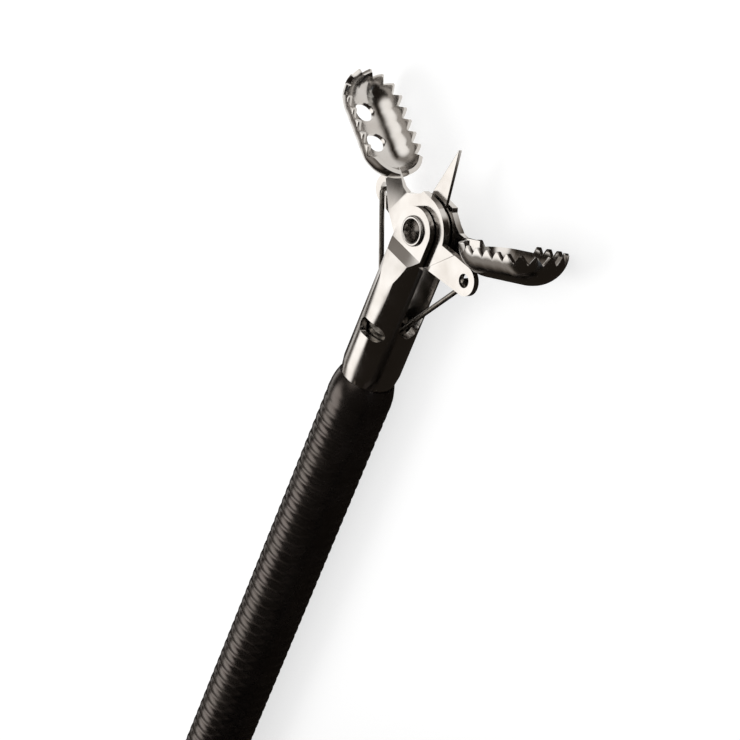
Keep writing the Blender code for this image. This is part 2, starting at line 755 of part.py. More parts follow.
def sheath_ferrule():
    """Crimped metal end of the sheath, held in the nose cap."""
    front = NOSE_FRONT
    ferrule = turned(
        "sheath_ferrule",
        [
            (FERRULE_RADIUS, front + FERRULE_LENGTH),
            (FERRULE_RADIUS, front),
            (FERRULE_BORE, front),
            (FERRULE_BORE, front + FERRULE_LENGTH),
        ],
        MEDIUM,
    )
    return placed(ferrule, STEEL, location=(0, 0, HANDLE_AXIS_HEIGHT))


def nose_cap():
    """Cap screwed on the barrel's spigot; it is the handle's front foot."""
    spigot = BARREL_SPIGOT_RADIUS + NOSE_CLEARANCE
    ferrule = FERRULE_RADIUS + FERRULE_CLEARANCE
    seat = BARREL_FRONT - FACE_GAP
    shoulder = NOSE_REAR - NOSE_SHOULDER_LENGTH
    edge = NOSE_CLEARANCE * 4
    cap = turned(
        "nose_cap",
        [
            (HANDLE_AXIS_HEIGHT - edge, NOSE_REAR),
            (HANDLE_AXIS_HEIGHT, NOSE_REAR - edge),
            (HANDLE_AXIS_HEIGHT, shoulder),
            (NOSE_FRONT_RADIUS, NOSE_FRONT),
            (ferrule, NOSE_FRONT),
            (ferrule, seat),
            (spigot, seat),
            (spigot, NOSE_REAR),
        ],
    )
    return placed(cap, GREY, location=(0, 0, HANDLE_AXIS_HEIGHT))


def thumb_outline():
    """Web and ring in one outline, from above."""
    root = (WEB_START, 0.0)
    return bar_outline(root, WEB_HALF_WIDTH, (THUMB_CENTRE, 0.0), THUMB_RADIUS, 20)


def handle_body():
    """Barrel, web and thumb ring in one moulding, with the slot for the cross pin."""
    low, high = -HANDLE_AXIS_HEIGHT, HANDLE_AXIS_HEIGHT
    body = plate("handle_body", thumb_outline(), low, high)
    cut(body, cylinder("thumb_hole", THUMB_HOLE, 2 * low, 2 * high, centre=(THUMB_CENTRE, 0.0), segments=FINE))
    rounding = body.modifiers.new("edges", "BEVEL")
    rounding.width = THUMB_EDGE
    rounding.segments = 3
    rounding.limit_method = "ANGLE"
    rounding.angle_limit = math.radians(60)
    bpy.context.view_layer.update()
    body = real_mesh(body)
    body.name = "handle_body"
    step = NOSE_REAR + FACE_GAP
    barrel = turned(
        "barrel",
        [
            (0.0, WEB_START + WEB_HALF_WIDTH),
            (BARREL_RADIUS, WEB_START + WEB_HALF_WIDTH),
            (BARREL_RADIUS, step),
            (BARREL_SPIGOT_RADIUS, step),
            (BARREL_SPIGOT_RADIUS, BARREL_FRONT),
            (0.0, BARREL_FRONT),
        ],
    )
    join(body, barrel)
    cut(body, cylinder("bore", BARREL_BORE, 2 * BARREL_FRONT, BARREL_BORE_END, along_x(), segments=FINE))
    reach = PIN_RADIUS + PIN_SLOT_CLEARANCE
    slot = bar_outline(
        (SPOOL_PIN - PIN_SLOT_CLEARANCE, 0.0),
        reach,
        (SPOOL_PIN + SPOOL_TRAVEL + PIN_SLOT_CLEARANCE, 0.0),
        reach,
        8,
    )
    cut(body, plate("pin_slot", slot, 2 * low, 2 * high))
    return placed(body, WHITE, location=(0, 0, HANDLE_AXIS_HEIGHT))


def spool():
    """Finger spool, turned, flattened above and below, before it is parted."""
    flat = HANDLE_AXIS_HEIGHT - SPOOL_FLOOR_GAP
    bore = BARREL_RADIUS + SPOOL_CLEARANCE
    end = SPOOL_HALF_LENGTH
    rim = end - SPOOL_FLANGE
    waist = rim - SPOOL_WAIST_SHOULDER
    round_edge = SPOOL_FLANGE / 3
    whole = turned(
        "spool",
        [
            (SPOOL_RADIUS - round_edge, end),
            (SPOOL_RADIUS, end - round_edge),
            (SPOOL_RADIUS, rim + round_edge),
            (SPOOL_RADIUS - round_edge, rim),
            (SPOOL_WAIST_RADIUS, waist),
            (SPOOL_WAIST_RADIUS, -waist),
            (SPOOL_RADIUS - round_edge, -rim),
            (SPOOL_RADIUS, -rim - round_edge),
            (SPOOL_RADIUS, -end + round_edge),
            (SPOOL_RADIUS - round_edge, -end),
            (bore, -end),
            (bore, end),
        ],
        48,
    )
    wide = 2 * SPOOL_RADIUS
    keep_inside(whole, box("flats", (-wide, -wide, -flat), (wide, wide, flat)))
    cut(whole, cylinder("pin_hole", PIN_RADIUS + PIN_CLEARANCE, -wide, wide, segments=20))
    return whole


def spool_halves(carrier):
    """The two snapped halves, parted on the axis."""
    wide = 2 * SPOOL_RADIUS
    part = SPOOL_PARTING / 2
    for name, low, high in (("spool_half_upper", part, wide), ("spool_half_lower", -wide, -part)):
        half = spool()
        half.name = name
        keep_inside(half, box("half", (-wide, -wide, low), (wide, wide, high)))
        placed(half, WHITE, parent=carrier)


def slider_block(carrier):
    """Slug in the barrel that joins the spool's pin to the drive tube."""
    radius = BARREL_BORE - SLIDER_CLEARANCE
    block = cylinder("slider_block", radius, -SLIDER_FRONT, SLIDER_REAR, along_x())
    cut(block, cylinder("pin_hole", PIN_RADIUS + PIN_CLEARANCE, -5 * MM, 5 * MM, segments=20))
    socket = TUBE_RADIUS + TUBE_CLEARANCE
    cut(block, cylinder("socket", socket, -2 * SLIDER_FRONT, -SLIDER_FRONT + TUBE_SOCKET, along_x(), segments=20))
    place = (-SLIDER_FRONT + SCREW_FROM_FRONT, 0.0)
    cut(block, cylinder("thread", SCREW_RADIUS + SCREW_CLEARANCE, 0.0, 5 * MM, centre=place, segments=16))
    return placed(block, GREY, parent=carrier)


def cross_pin(carrier):
    """Pin across spool, slot and slider."""
    end = HANDLE_AXIS_HEIGHT - SPOOL_FLOOR_GAP - PIN_RECESS
    return placed(cylinder("cross_pin", PIN_RADIUS, -end, end, segments=20), STEEL, parent=carrier)


def drive_tube(carrier):
    """Stiff tube on the rear end of the drive cable."""
    rear = -SLIDER_FRONT + TUBE_SOCKET - TUBE_CLEARANCE
    front = rear - TUBE_REACH
    pipe = turned(
        "drive_tube",
        [(TUBE_RADIUS, rear), (TUBE_RADIUS, front), (TUBE_BORE, front), (TUBE_BORE, rear)],
        20,
    )
    return placed(pipe, STEEL, parent=carrier)


def grub_screw(carrier):
    """Clamps the drive tube in the slider."""
    low = TUBE_RADIUS + TUBE_CLEARANCE
    high = BARREL_BORE - SLIDER_CLEARANCE
    place = (-SLIDER_FRONT + SCREW_FROM_FRONT, 0.0)
    screw = cylinder("grub_screw", SCREW_RADIUS, low, high, centre=place, segments=16)
    return placed(screw, WIRE_STEEL, parent=carrier)


def build():
    clear_scene()
    clevis()
    pivot_rivet()
    center_spike()
    jaws()
    pull_wire("pull_wire_left", 1)
    pull_wire("pull_wire_right", -1)
    wire_yoke()
    drive_cable()
    sheath_collar()
    sheath_run()
    sheath_coil()
    sheath_tail()
    strain_relief()
    sheath_ferrule()
    nose_cap()
    handle_body()
    carrier = empty("spool_carrier", (SPOOL_PIN, 0.0, HANDLE_AXIS_HEIGHT))
    spool_halves(carrier)
    slider_block(carrier)
    cross_pin(carrier)
    drive_tube(carrier)
    grub_screw(carrier)


build()
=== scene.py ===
"""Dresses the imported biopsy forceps: steel jaw end, jacketed shaft, ring handle, studio."""

import logging
import math
from dataclasses import dataclass, field
from enum import Enum
from typing import Any, Callable, Iterable, Optional, Sequence

import bmesh
import bpy
from mathutils import Matrix, Vector


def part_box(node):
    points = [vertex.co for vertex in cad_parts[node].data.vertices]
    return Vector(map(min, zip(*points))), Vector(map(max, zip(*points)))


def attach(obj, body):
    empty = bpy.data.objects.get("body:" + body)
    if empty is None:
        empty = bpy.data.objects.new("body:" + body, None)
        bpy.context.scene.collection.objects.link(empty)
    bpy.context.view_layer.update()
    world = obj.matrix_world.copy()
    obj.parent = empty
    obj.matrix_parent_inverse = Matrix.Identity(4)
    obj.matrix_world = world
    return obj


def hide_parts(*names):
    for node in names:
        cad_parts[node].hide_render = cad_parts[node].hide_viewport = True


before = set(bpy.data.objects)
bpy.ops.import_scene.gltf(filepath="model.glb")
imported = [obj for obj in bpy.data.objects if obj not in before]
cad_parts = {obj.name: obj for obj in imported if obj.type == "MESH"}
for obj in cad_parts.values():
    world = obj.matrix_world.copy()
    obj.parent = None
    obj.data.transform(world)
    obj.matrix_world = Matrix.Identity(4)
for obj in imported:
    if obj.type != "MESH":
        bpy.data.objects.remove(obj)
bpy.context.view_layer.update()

LOG = logging.getLogger("biopsy_forceps")
MM = 0.001
WELD = 1e-5
FLATS = 20.0  # degrees: keeps the rounded edges from shading the flat faces
ALONG_X = Matrix.Rotation(math.pi / 2, 4, "Y")
ALONG_Y = Matrix.Rotation(-math.pi / 2, 4, "X")
UPRIGHT = Matrix.Rotation(math.pi / 2, 4, "X")
Point = tuple[float, float]
Triple = tuple[float, float, float]
Stops = Sequence[tuple[float, Any]]


def middle(node: str) -> Vector:
    """Middle of a CAD node's box.

    Args:
        node: Name of the CAD node.

    Returns:
        The point in metres.
    """
    low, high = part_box(node)
    return (Vector(low) + Vector(high)) / 2


PIVOT = middle("pivot_rivet")


# Materials


def linear(code: str) -> tuple[float, float, float, float]:
    """Turns an sRGB hex colour to linear light.

    Args:
        code: Six hex digits.

    Returns:
        Red, green, blue and an alpha of one.
    """
    parts = [int(code[i : i + 2], 16) / 255 for i in (0, 2, 4)]
    turned = [c / 12.92 if c <= 0.04045 else ((c + 0.055) / 1.055) ** 2.4 for c in parts]
    return (turned[0], turned[1], turned[2], 1.0)


def add_node(
    tree: Any, kind: str, inputs: Optional[dict] = None, stops: Stops = (), **settings: Any
) -> Any:
    """Adds a node with its settings, its values and its links.

    Args:
        tree: Node tree that gets the node.
        kind: Blender's name of the node type.
        inputs: Values or output sockets, by the input's name or number.
        stops: Place and colour of both stops, where the node is a colour ramp.
        **settings: The node's own properties.

    Returns:
        The new node.
    """
    made = tree.nodes.new(kind)
    for name, value in settings.items():
        setattr(made, name, value)
    for key, value in (inputs or {}).items():
        if isinstance(value, bpy.types.NodeSocket):
            tree.links.new(value, made.inputs[key])
        else:
            made.inputs[key].default_value = value
    for number, (place, colour) in enumerate(stops):
        made.color_ramp.elements[number].position = place
        made.color_ramp.elements[number].color = colour
    return made


def new_material(name: str, values: dict[str, Any]) -> tuple[bpy.types.Material, Any, Any]:
    """A node material with its shader.

    Args:
        name: Name of the finish.
        values: The shader's plain inputs, by name.

    Returns:
        The material, its tree and its Principled shader.
    """
    material = bpy.data.materials.new(name)
    material.use_nodes = True
    shader = material.node_tree.nodes["Principled BSDF"]
    for label, value in values.items():
        shader.inputs[label].default_value = value
    return material, material.node_tree, shader


def texture(
    tree: Any,
    shader: Any,
    bands: dict[str, tuple[Any, Stops]],
    bumps: Sequence[tuple[float, float, Any]] = (),
) -> None:
    """Lets patterns vary a shader's colour and roughness, and raise its surface.

    Args:
        tree: Node tree.
        shader: The Principled shader.
        bands: For each input's name, the pattern and the stops that it runs through.
        bumps: Strength, rise in millimetres and pattern of each bump, coarse to fine.
    """
    for label, (pattern, stops) in bands.items():
        band = add_node(tree, "ShaderNodeValToRGB", {"Fac": pattern}, stops)
        tree.links.new(band.outputs["Color"], shader.inputs[label])
    below: dict[str, Any] = {}
    for strength, rise, pattern in bumps:
        inputs = {"Strength": strength, "Distance": rise * MM, "Height": pattern, **below}
        below = {"Normal": add_node(tree, "ShaderNodeBump", inputs).outputs["Normal"]}
    for label, normal in below.items():
        tree.links.new(normal, shader.inputs[label])


def grey(value: float) -> tuple[float, float, float, float]:
    """A grey, given in linear light, with an alpha of one."""
    return (value, value, value, 1.0)


def repeats(size: float) -> float:
    """Scale of a texture whose pattern is as coarse as a size in millimetres."""
    return 1 / (size * MM)


def rough_stops(value: float, least: float, most: float) -> Stops:
    """Stops that take a roughness from a smaller to a larger share of it."""
    return [(0.3, grey(value * least)), (0.7, grey(value * most))]


@dataclass(frozen=True)
class PolishedSteel:
    """Austenitic stainless, tumbled and electropolished: mirror bright with faint waviness."""

    name: str = "electropolished_stainless"
    colours: tuple[str, str] = ("BDBAB7", "B4AFAA")
    roughness: float = 0.14
    wave_mm: float = 0.9
    scratch_mm: float = 0.05
    bump: float = 0.12

    def material(self) -> bpy.types.Material:
        """Builds the material.

        Returns:
            Steel with a soft waviness, fine tumbling marks and faint smears.
        """
        made, tree, shader = new_material(self.name, {"Metallic": 1.0})
        place = add_node(tree, "ShaderNodeTexCoord").outputs["Object"]
        wave, mark = (
            add_node(
                tree,
                "ShaderNodeTexNoise",
                {"Vector": place, "Scale": repeats(size), "Detail": detail},
            ).outputs["Fac"]
            for size, detail in ((self.wave_mm, 2.0), (self.scratch_mm, 3.0))
        )
        first, second = (linear(code) for code in self.colours)
        bands = {
            "Roughness": (wave, rough_stops(self.roughness, 0.7, 1.7)),
            "Base Color": (wave, [(0.35, first), (0.8, second)]),
        }
        # The waves bend the reflections a little, the tumbling marks only take off their edge.
        bumps = [(self.bump, 0.02, wave), (self.bump * 0.35, 0.004, mark)]
        texture(tree, shader, bands, bumps)
        return made


@dataclass(frozen=True)
class DrawnWire:
    """Hard drawn stainless wire: a little duller than polished, marked along its length."""

    name: str = "drawn_stainless_wire"
    colours: tuple[str, str] = ("8F8A83", "6E6963")
    roughness: float = 0.24
    mark_mm: Point = (2.5, 1 / 9)

    def material(self) -> bpy.types.Material:
        """Builds the material.

        Returns:
            Wire steel with die marks along X.
        """
        made, tree, shader = new_material(self.name, {"Metallic": 1.0})
        place = add_node(tree, "ShaderNodeTexCoord").outputs["Object"]
        along, across = (repeats(size) for size in self.mark_mm)
        inputs = {"Vector": place, "Scale": (along, across, across)}
        drawn = add_node(tree, "ShaderNodeMapping", inputs).outputs["Vector"]
        inputs = {"Vector": drawn, "Scale": 1.0, "Detail": 3.0}
        mark = add_node(tree, "ShaderNodeTexNoise", inputs).outputs["Fac"]
        first, second = (linear(code) for code in self.colours)
        bands = {
            "Roughness": (mark, rough_stops(self.roughness, 0.8, 1.4)),
            "Base Color": (mark, [(0.3, first), (0.75, second)]),
        }
        texture(tree, shader, bands)
        return made


@dataclass(frozen=True)
class BlackJacket:
    """Black polyolefin shrunk over the coil: satin, and it shows each wire of the coil below."""

    name: str = "black_shrunk_jacket"
    colours: tuple[str, str] = ("0F0D0C", "171412")
    sheen: str = "F4E4DA"
    roughness: float = 0.25
    ior: float = 1.54
    ridge_mm: float = 0.44
    cloud_mm: float = 1 / 1.4
    grain_mm: float = 1 / 14

    def material(self) -> bpy.types.Material:
        """Builds the material.

        Returns:
            Black satin plastic; where the mesh has no ridges the bump draws them.
        """
        values = {
            "IOR": self.ior, "Specular IOR Level": 1.0, "Specular Tint": linear(self.sheen),
        }
        made, tree, shader = new_material(self.name, values)
        place = add_node(tree, "ShaderNodeTexCoord").outputs["Object"]
        cloud, grain = (
            add_node(
                tree,
                "ShaderNodeTexNoise",
                {"Vector": place, "Scale": repeats(size), "Detail": detail},
            ).outputs["Fac"]
            for size, detail in ((self.cloud_mm, 3.0), (self.grain_mm, 2.0))
        )
        crest, plain = (
            add_node(tree, "ShaderNodeAttribute", attribute_name=name).outputs["Fac"]
            for name in ("shaft_length", "shaft_plain")
        )
        for kind, terms in (
            ("MULTIPLY", {1: 2 * math.pi * repeats(self.ridge_mm)}),
            ("COSINE", {}),
            ("MULTIPLY", {1: plain}),
        ):
            inputs = {0: crest, **terms}
            crest = add_node(tree, "ShaderNodeMath", inputs, operation=kind).outputs[0]
        first, second = (linear(code) for code in self.colours)
        bands = {
            "Base Color": (cloud, [(0.35, first), (0.75, second)]),
            "Roughness": (cloud, rough_stops(self.roughness, 0.88, 1.2)),
        }
        texture(tree, shader, bands, [(0.5, 0.02, crest), (0.12, 0.004, grain)])
        return made


@dataclass(frozen=True)
class SoftElastomer:
    """Black thermoplastic elastomer from a textured mould: matt, with a fine grain."""

    name: str = "black_moulded_elastomer"
    colours: tuple[str, str] = ("1B1A19", "262423")
    roughness: float = 0.62
    grain_mm: float = 0.18

    def material(self) -> bpy.types.Material:
        """Builds the material.

        Returns:
            Matt black elastomer.
        """
        made, tree, shader = new_material(self.name, {"Roughness": self.roughness})
        place = add_node(tree, "ShaderNodeTexCoord").outputs["Object"]
        inputs = {"Vector": place, "Scale": repeats(self.grain_mm), "Detail": 4.0}
        grain = add_node(tree, "ShaderNodeTexNoise", inputs).outputs["Fac"]
        first, second = (linear(code) for code in self.colours)
        bands = {"Base Color": (grain, [(0.3, first), (0.7, second)])}
        texture(tree, shader, bands, [(0.35, 0.03, grain)])
        return made


class PlasticTone(Enum):
    """Colours that the handle's mouldings come in."""

    WHITE = ("F1F0EC", "E6E4DE")
    GREY = ("62676E", "565B62")


@dataclass(frozen=True)
class MouldedPlastic:
    """Injection moulded ABS from a spark-eroded tool: even colour with a fine leathery grain."""

    tone: PlasticTone
    roughness: float = 0.42
    grain_mm: float = 0.12
    cloud_mm: float = 100 / 9

    def material(self) -> bpy.types.Material:
        """Builds the material.

        Returns:
            Satin ABS in the given tone.
        """
        made, tree, shader = new_material(f"moulded_abs_{self.tone.name.lower()}", {})
        place = add_node(tree, "ShaderNodeTexCoord").outputs["Object"]
        inputs = {"Vector": place, "Scale": repeats(self.cloud_mm), "Detail": 3.0}
        cloud = add_node(tree, "ShaderNodeTexNoise", inputs).outputs["Fac"]
        inputs = {"Vector": place, "Scale": repeats(self.grain_mm)}
        grain = add_node(tree, "ShaderNodeTexVoronoi", inputs).outputs["Distance"]
        first, second = (linear(code) for code in self.tone.value)
        bands = {
            "Base Color": (cloud, [(0.3, first), (0.7, second)]),
            "Roughness": (cloud, rough_stops(self.roughness, 0.9, 1.15)),
        }
        texture(tree, shader, bands, [(0.1, 0.01, grain)])
        return made


@dataclass
class Finishes:
    """One material of each finish, made once."""

    steel: bpy.types.Material = field(default_factory=lambda: PolishedSteel().material())
    wire: bpy.types.Material = field(default_factory=lambda: DrawnWire().material())
    jacket: bpy.types.Material = field(default_factory=lambda: BlackJacket().material())
    boot: bpy.types.Material = field(default_factory=lambda: SoftElastomer().material())
    white: bpy.types.Material = field(
        default_factory=lambda: MouldedPlastic(PlasticTone.WHITE).material()
    )
    grey: bpy.types.Material = field(
        default_factory=lambda: MouldedPlastic(PlasticTone.GREY).material()
    )


# Mesh tools. Pieces are shaped in millimetres and brought to metres at the end.


def to_object(name: str, shape: bmesh.types.BMesh) -> bpy.types.Object:
    """Makes an object of a bmesh, and frees the bmesh.

    Args:
        name: Object's name.
        shape: The geometry.

    Returns:
        The new object.
    """
    mesh = bpy.data.meshes.new(name)
    shape.to_mesh(mesh)
    shape.free()
    made = bpy.data.objects.new(name, mesh)
    bpy.context.scene.collection.objects.link(made)
    return made


def evaluated(thing: bpy.types.Object) -> bpy.types.Object:
    """Replaces an object by the plain mesh that its modifiers or its curve give.

    Args:
        thing: Mesh or curve object.

    Returns:
        A mesh object with no modifiers, of the same name.
    """
    bpy.context.view_layer.update()
    graph = bpy.context.evaluated_depsgraph_get()
    mesh = bpy.data.meshes.new_from_object(thing.evaluated_get(graph))
    name = thing.name
    place = thing.matrix_world.copy()
    bpy.data.objects.remove(thing, do_unlink=True)
    mesh.transform(place)
    made = bpy.data.objects.new(name, mesh)
    bpy.context.scene.collection.objects.link(made)
    return made


def eased(share: float) -> float:
    """Smooth rise from 0 to 1, held at its ends outside that range.

    Args:
        share: How far the rise has come.

    Returns:
        The eased share.
    """
    held = min(max(share, 0.0), 1.0)
    return held * held * (3 - 2 * held)
def arc(centre: Point, radius: float, start: float, end: float, steps: int) -> list[Point]:
    """Points on an arc.

    Args:
        centre: The arc's centre.
        radius: Its radius.
        start: First angle in radians.
        end: Last angle in radians.
        steps: Number of stretches.

    Returns:
        The points in order.
    """
    turns = [start + (end - start) * i / steps for i in range(steps + 1)]
    return [(centre[0] + radius * math.cos(a), centre[1] + radius * math.sin(a)) for a in turns]


def bar_outline(
    first: Point, first_radius: float, second: Point, second_radius: float, steps: int = 28
) -> list[Point]:
    """Outline round two circles and the straight sides that touch both.

    Args:
        first: Centre of the first circle.
        first_radius: Its radius.
        second: Centre of the second circle.
        second_radius: Its radius.
        steps: Stretches in the second arc.

    Returns:
        The closed outline's points.
    """
    dx, dy = second[0] - first[0], second[1] - first[1]
    heading = math.atan2(dy, dx)
    lean = math.acos((first_radius - second_radius) / math.hypot(dx, dy))
    far = arc(second, second_radius, heading - lean, heading + lean, steps)
    near = arc(first, first_radius, heading + lean, heading + 2 * math.pi - lean, 2 * steps)
    return far + near


def plate(
    name: str, outline: Sequence[Point], low: float, high: float, turn: Optional[Matrix] = None
) -> bpy.types.Object:
    """A flat plate with square edges.

    Args:
        name: Object's name.
        outline: Closed outline in x and y.
        low: Lower face's height.
        high: Upper face's height.
        turn: Turn to give the plate.

    Returns:
        The closed solid.
    """
    shape = bmesh.new()
    floor = [shape.verts.new((x, y, low)) for x, y in outline]
    roof = [shape.verts.new((x, y, high)) for x, y in outline]
    shape.faces.new(floor)
    shape.faces.new(roof)
    for i in range(len(outline)):
        j = (i + 1) % len(outline)
        shape.faces.new((floor[i], floor[j], roof[j], roof[i]))
    if turn is not None:
        bmesh.ops.transform(shape, matrix=turn, verts=shape.verts)
    bmesh.ops.recalc_face_normals(shape, faces=shape.faces)
    return to_object(name, shape)


def box(name: str, low: Sequence[float], high: Sequence[float]) -> bpy.types.Object:
    """A box between two corners.

    Args:
        name: Object's name.
        low: Lowest corner.
        high: Highest corner.

    Returns:
        The closed solid.
    """
    outline = [(low[0], low[1]), (high[0], low[1]), (high[0], high[1]), (low[0], high[1])]
    return plate(name, outline, low[2], high[2])


def rod(
    name: str,
    radius: float,
    low: float,
    high: float,
    centre: Point = (0.0, 0.0),
    turn: Optional[Matrix] = None,
    steps: int = 72,
) -> bpy.types.Object:
    """A round rod along z, or turned.

    Args:
        name: Object's name.
        radius: Its radius.
        low: Lower end.
        high: Upper end.
        centre: Its axis in x and y.
        turn: Turn to give it.
        steps: Number of sides.

    Returns:
        The closed solid.
    """
    outline = arc(centre, radius, 0, 2 * math.pi, steps)[:-1]
    return plate(name, outline, low, high, turn)


def turned(name: str, profile: Sequence[Point], steps: int = 96) -> bpy.types.Object:
    """A closed profile of (radius, x) turned about x.

    Args:
        name: Object's name.
        profile: Points round the section, in order.
        steps: Number of sides.

    Returns:
        The closed solid.
    """
    shape = bmesh.new()
    rings = []
    for radius, along in profile:
        if radius == 0:
            rings.append([shape.verts.new((along, 0.0, 0.0))] * steps)
            continue
        circle = arc((0.0, 0.0), radius, 0, 2 * math.pi, steps)[:-1]
        rings.append([shape.verts.new((along, y, z)) for y, z in circle])
    for i, ring in enumerate(rings):
        after = rings[(i + 1) % len(rings)]
        for k in range(steps):
            m = (k + 1) % steps
            corners = list(dict.fromkeys((ring[k], ring[m], after[m], after[k])))
            if len(corners) > 2:
                shape.faces.new(corners)
    bmesh.ops.recalc_face_normals(shape, faces=shape.faces)
    return to_object(name, shape)


def combine(
    target: bpy.types.Object, tools: Sequence[bpy.types.Object], kind: str
) -> bpy.types.Object:
    """Cuts, joins or keeps with exact Booleans, and removes the tools.

    Args:
        target: Solid that is changed.
        tools: The other solids.
        kind: DIFFERENCE, UNION or INTERSECT.

    Returns:
        The changed solid.
    """
    for tool in tools:
        change = target.modifiers.new(kind.lower(), "BOOLEAN")
        change.operation = kind
        change.solver = "EXACT"
        change.object = tool
    made = evaluated(target)
    for tool in tools:
        bpy.data.objects.remove(tool, do_unlink=True)
    shape = bmesh.new()
    shape.from_mesh(made.data)
    bmesh.ops.remove_doubles(shape, verts=shape.verts, dist=WELD)
    shape.to_mesh(made.data)
    shape.free()
    return made


def soften(
    thing: bpy.types.Object, width: float, angle: float = 35.0, steps: int = 2
) -> bpy.types.Object:
    """Rounds the sharp edges.

    Args:
        thing: The solid.
        width: Width of the rounding, in the mesh's own units.
        angle: Edges sharper than this, in degrees, are rounded.
        steps: Faces across the rounding.

    Returns:
        The rounded solid.
    """
    edge = thing.modifiers.new("edges", "BEVEL")
    edge.width = width
    edge.segments = steps
    edge.limit_method = "ANGLE"
    edge.angle_limit = math.radians(angle)
    edge.use_clamp_overlap = True
    return evaluated(thing)


def dress(
    thing: bpy.types.Object,
    finish: bpy.types.Material,
    body: str,
    nodes: Sequence[str] = (),
    place: Optional[Matrix] = None,
    scale: float = MM,
    smooth: float = 32.0,
) -> bpy.types.Object:
    """Brings a piece to its place in metres, gives it its finish and ties it to the frame.

    Args:
        thing: The piece.
        finish: Its material.
        body: CAD body that it rides on.
        nodes: CAD nodes that it stands for.
        place: Place to bring it to, after scaling.
        scale: Metres for one unit of its mesh.
        smooth: Edges below this many degrees are shaded smooth.

    Returns:
        The piece.
    """
    thing.data.transform(Matrix.Scale(scale, 4))
    if place is not None:
        thing.data.transform(place)
    thing.data.materials.clear()
    thing.data.materials.append(finish)
    for face in thing.data.polygons:
        face.material_index = 0
    thing.data.shade_smooth()
    thing.data.set_sharp_from_angle(angle=math.radians(smooth))
    if nodes:
        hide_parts(*nodes)
    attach(thing, body)
    return thing


def joined(first: bpy.types.Object, others: Iterable[bpy.types.Object]) -> bpy.types.Object:
    """Puts several meshes in one object.

    Args:
        first: Object that keeps its name.
        others: Objects that go into it.

    Returns:
        The first object.
    """
    shape = bmesh.new()
    shape.from_mesh(first.data)
    for other in others:
        shape.from_mesh(other.data)
        bpy.data.objects.remove(other, do_unlink=True)
    shape.to_mesh(first.data)
    shape.free()
    return first


def refined(node: str, width: float, angle: float = 40.0, steps: int = 2) -> bpy.types.Object:
    """A finer copy of a CAD node, welded and with rounded edges.

    Args:
        node: Name of the CAD node.
        width: Width of the rounding in metres, or zero for none.
        angle: Edges sharper than this, in degrees, are rounded.
        steps: Faces across the rounding.

    Returns:
        The copy, still in metres.
    """
    shape = bmesh.new()
    shape.from_mesh(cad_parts[node].data)
    bmesh.ops.remove_doubles(shape, verts=shape.verts, dist=2e-7)
    bmesh.ops.dissolve_limit(
        shape, angle_limit=math.radians(0.6), verts=shape.verts, edges=shape.edges
    )
    copy = to_object(f"{node}_form", shape)
    return soften(copy, width, angle, steps) if width else copy


def refitted(
    node: str, finish: bpy.types.Material, body: str, width: float, angle: float = 45.0
) -> bpy.types.Object:
    """A finer copy of a CAD node, dressed and tied to the frame.

    Args:
        node: Name of the CAD node.
        finish: Its material.
        body: CAD body that it rides on.
        width: Width of the rounding in metres.
        angle: Edges sharper than this, in degrees, are rounded.

    Returns:
        The piece.
    """
    piece = refined(node, width, angle)
    dress(piece, finish, body, (node,), scale=1.0)
    return piece


# Studio


@dataclass(frozen=True)
class Glow:
    """Soft patch of painted light round one direction, which only polished surfaces see as a
    reflection.

    Angles are in degrees: the half-angle of the full brightness, and the fade outside it.
    """

    towards: Triple
    wide: float
    soft: float
    strength: float

    def socket(self, tree: Any, way: Any) -> Any:
        """Adds the nodes that draw the patch.

        Args:
            tree: Node tree.
            way: Socket with the direction looked in.

        Returns:
            The socket with the brightness.
        """
        aim = tuple(Vector(self.towards).normalized())
        near = add_node(tree, "ShaderNodeVectorMath", {0: way, 1: aim}, operation="DOT_PRODUCT")
        inputs = {
            "Value": near.outputs["Value"],
            "From Min": math.cos(math.radians(self.wide + self.soft)),
            "From Max": math.cos(math.radians(self.wide)),
            "To Min": 0.0,
            "To Max": self.strength,
        }
        smooth = {"interpolation_type": "SMOOTHSTEP"}
        return add_node(tree, "ShaderNodeMapRange", inputs, **smooth).outputs["Result"]


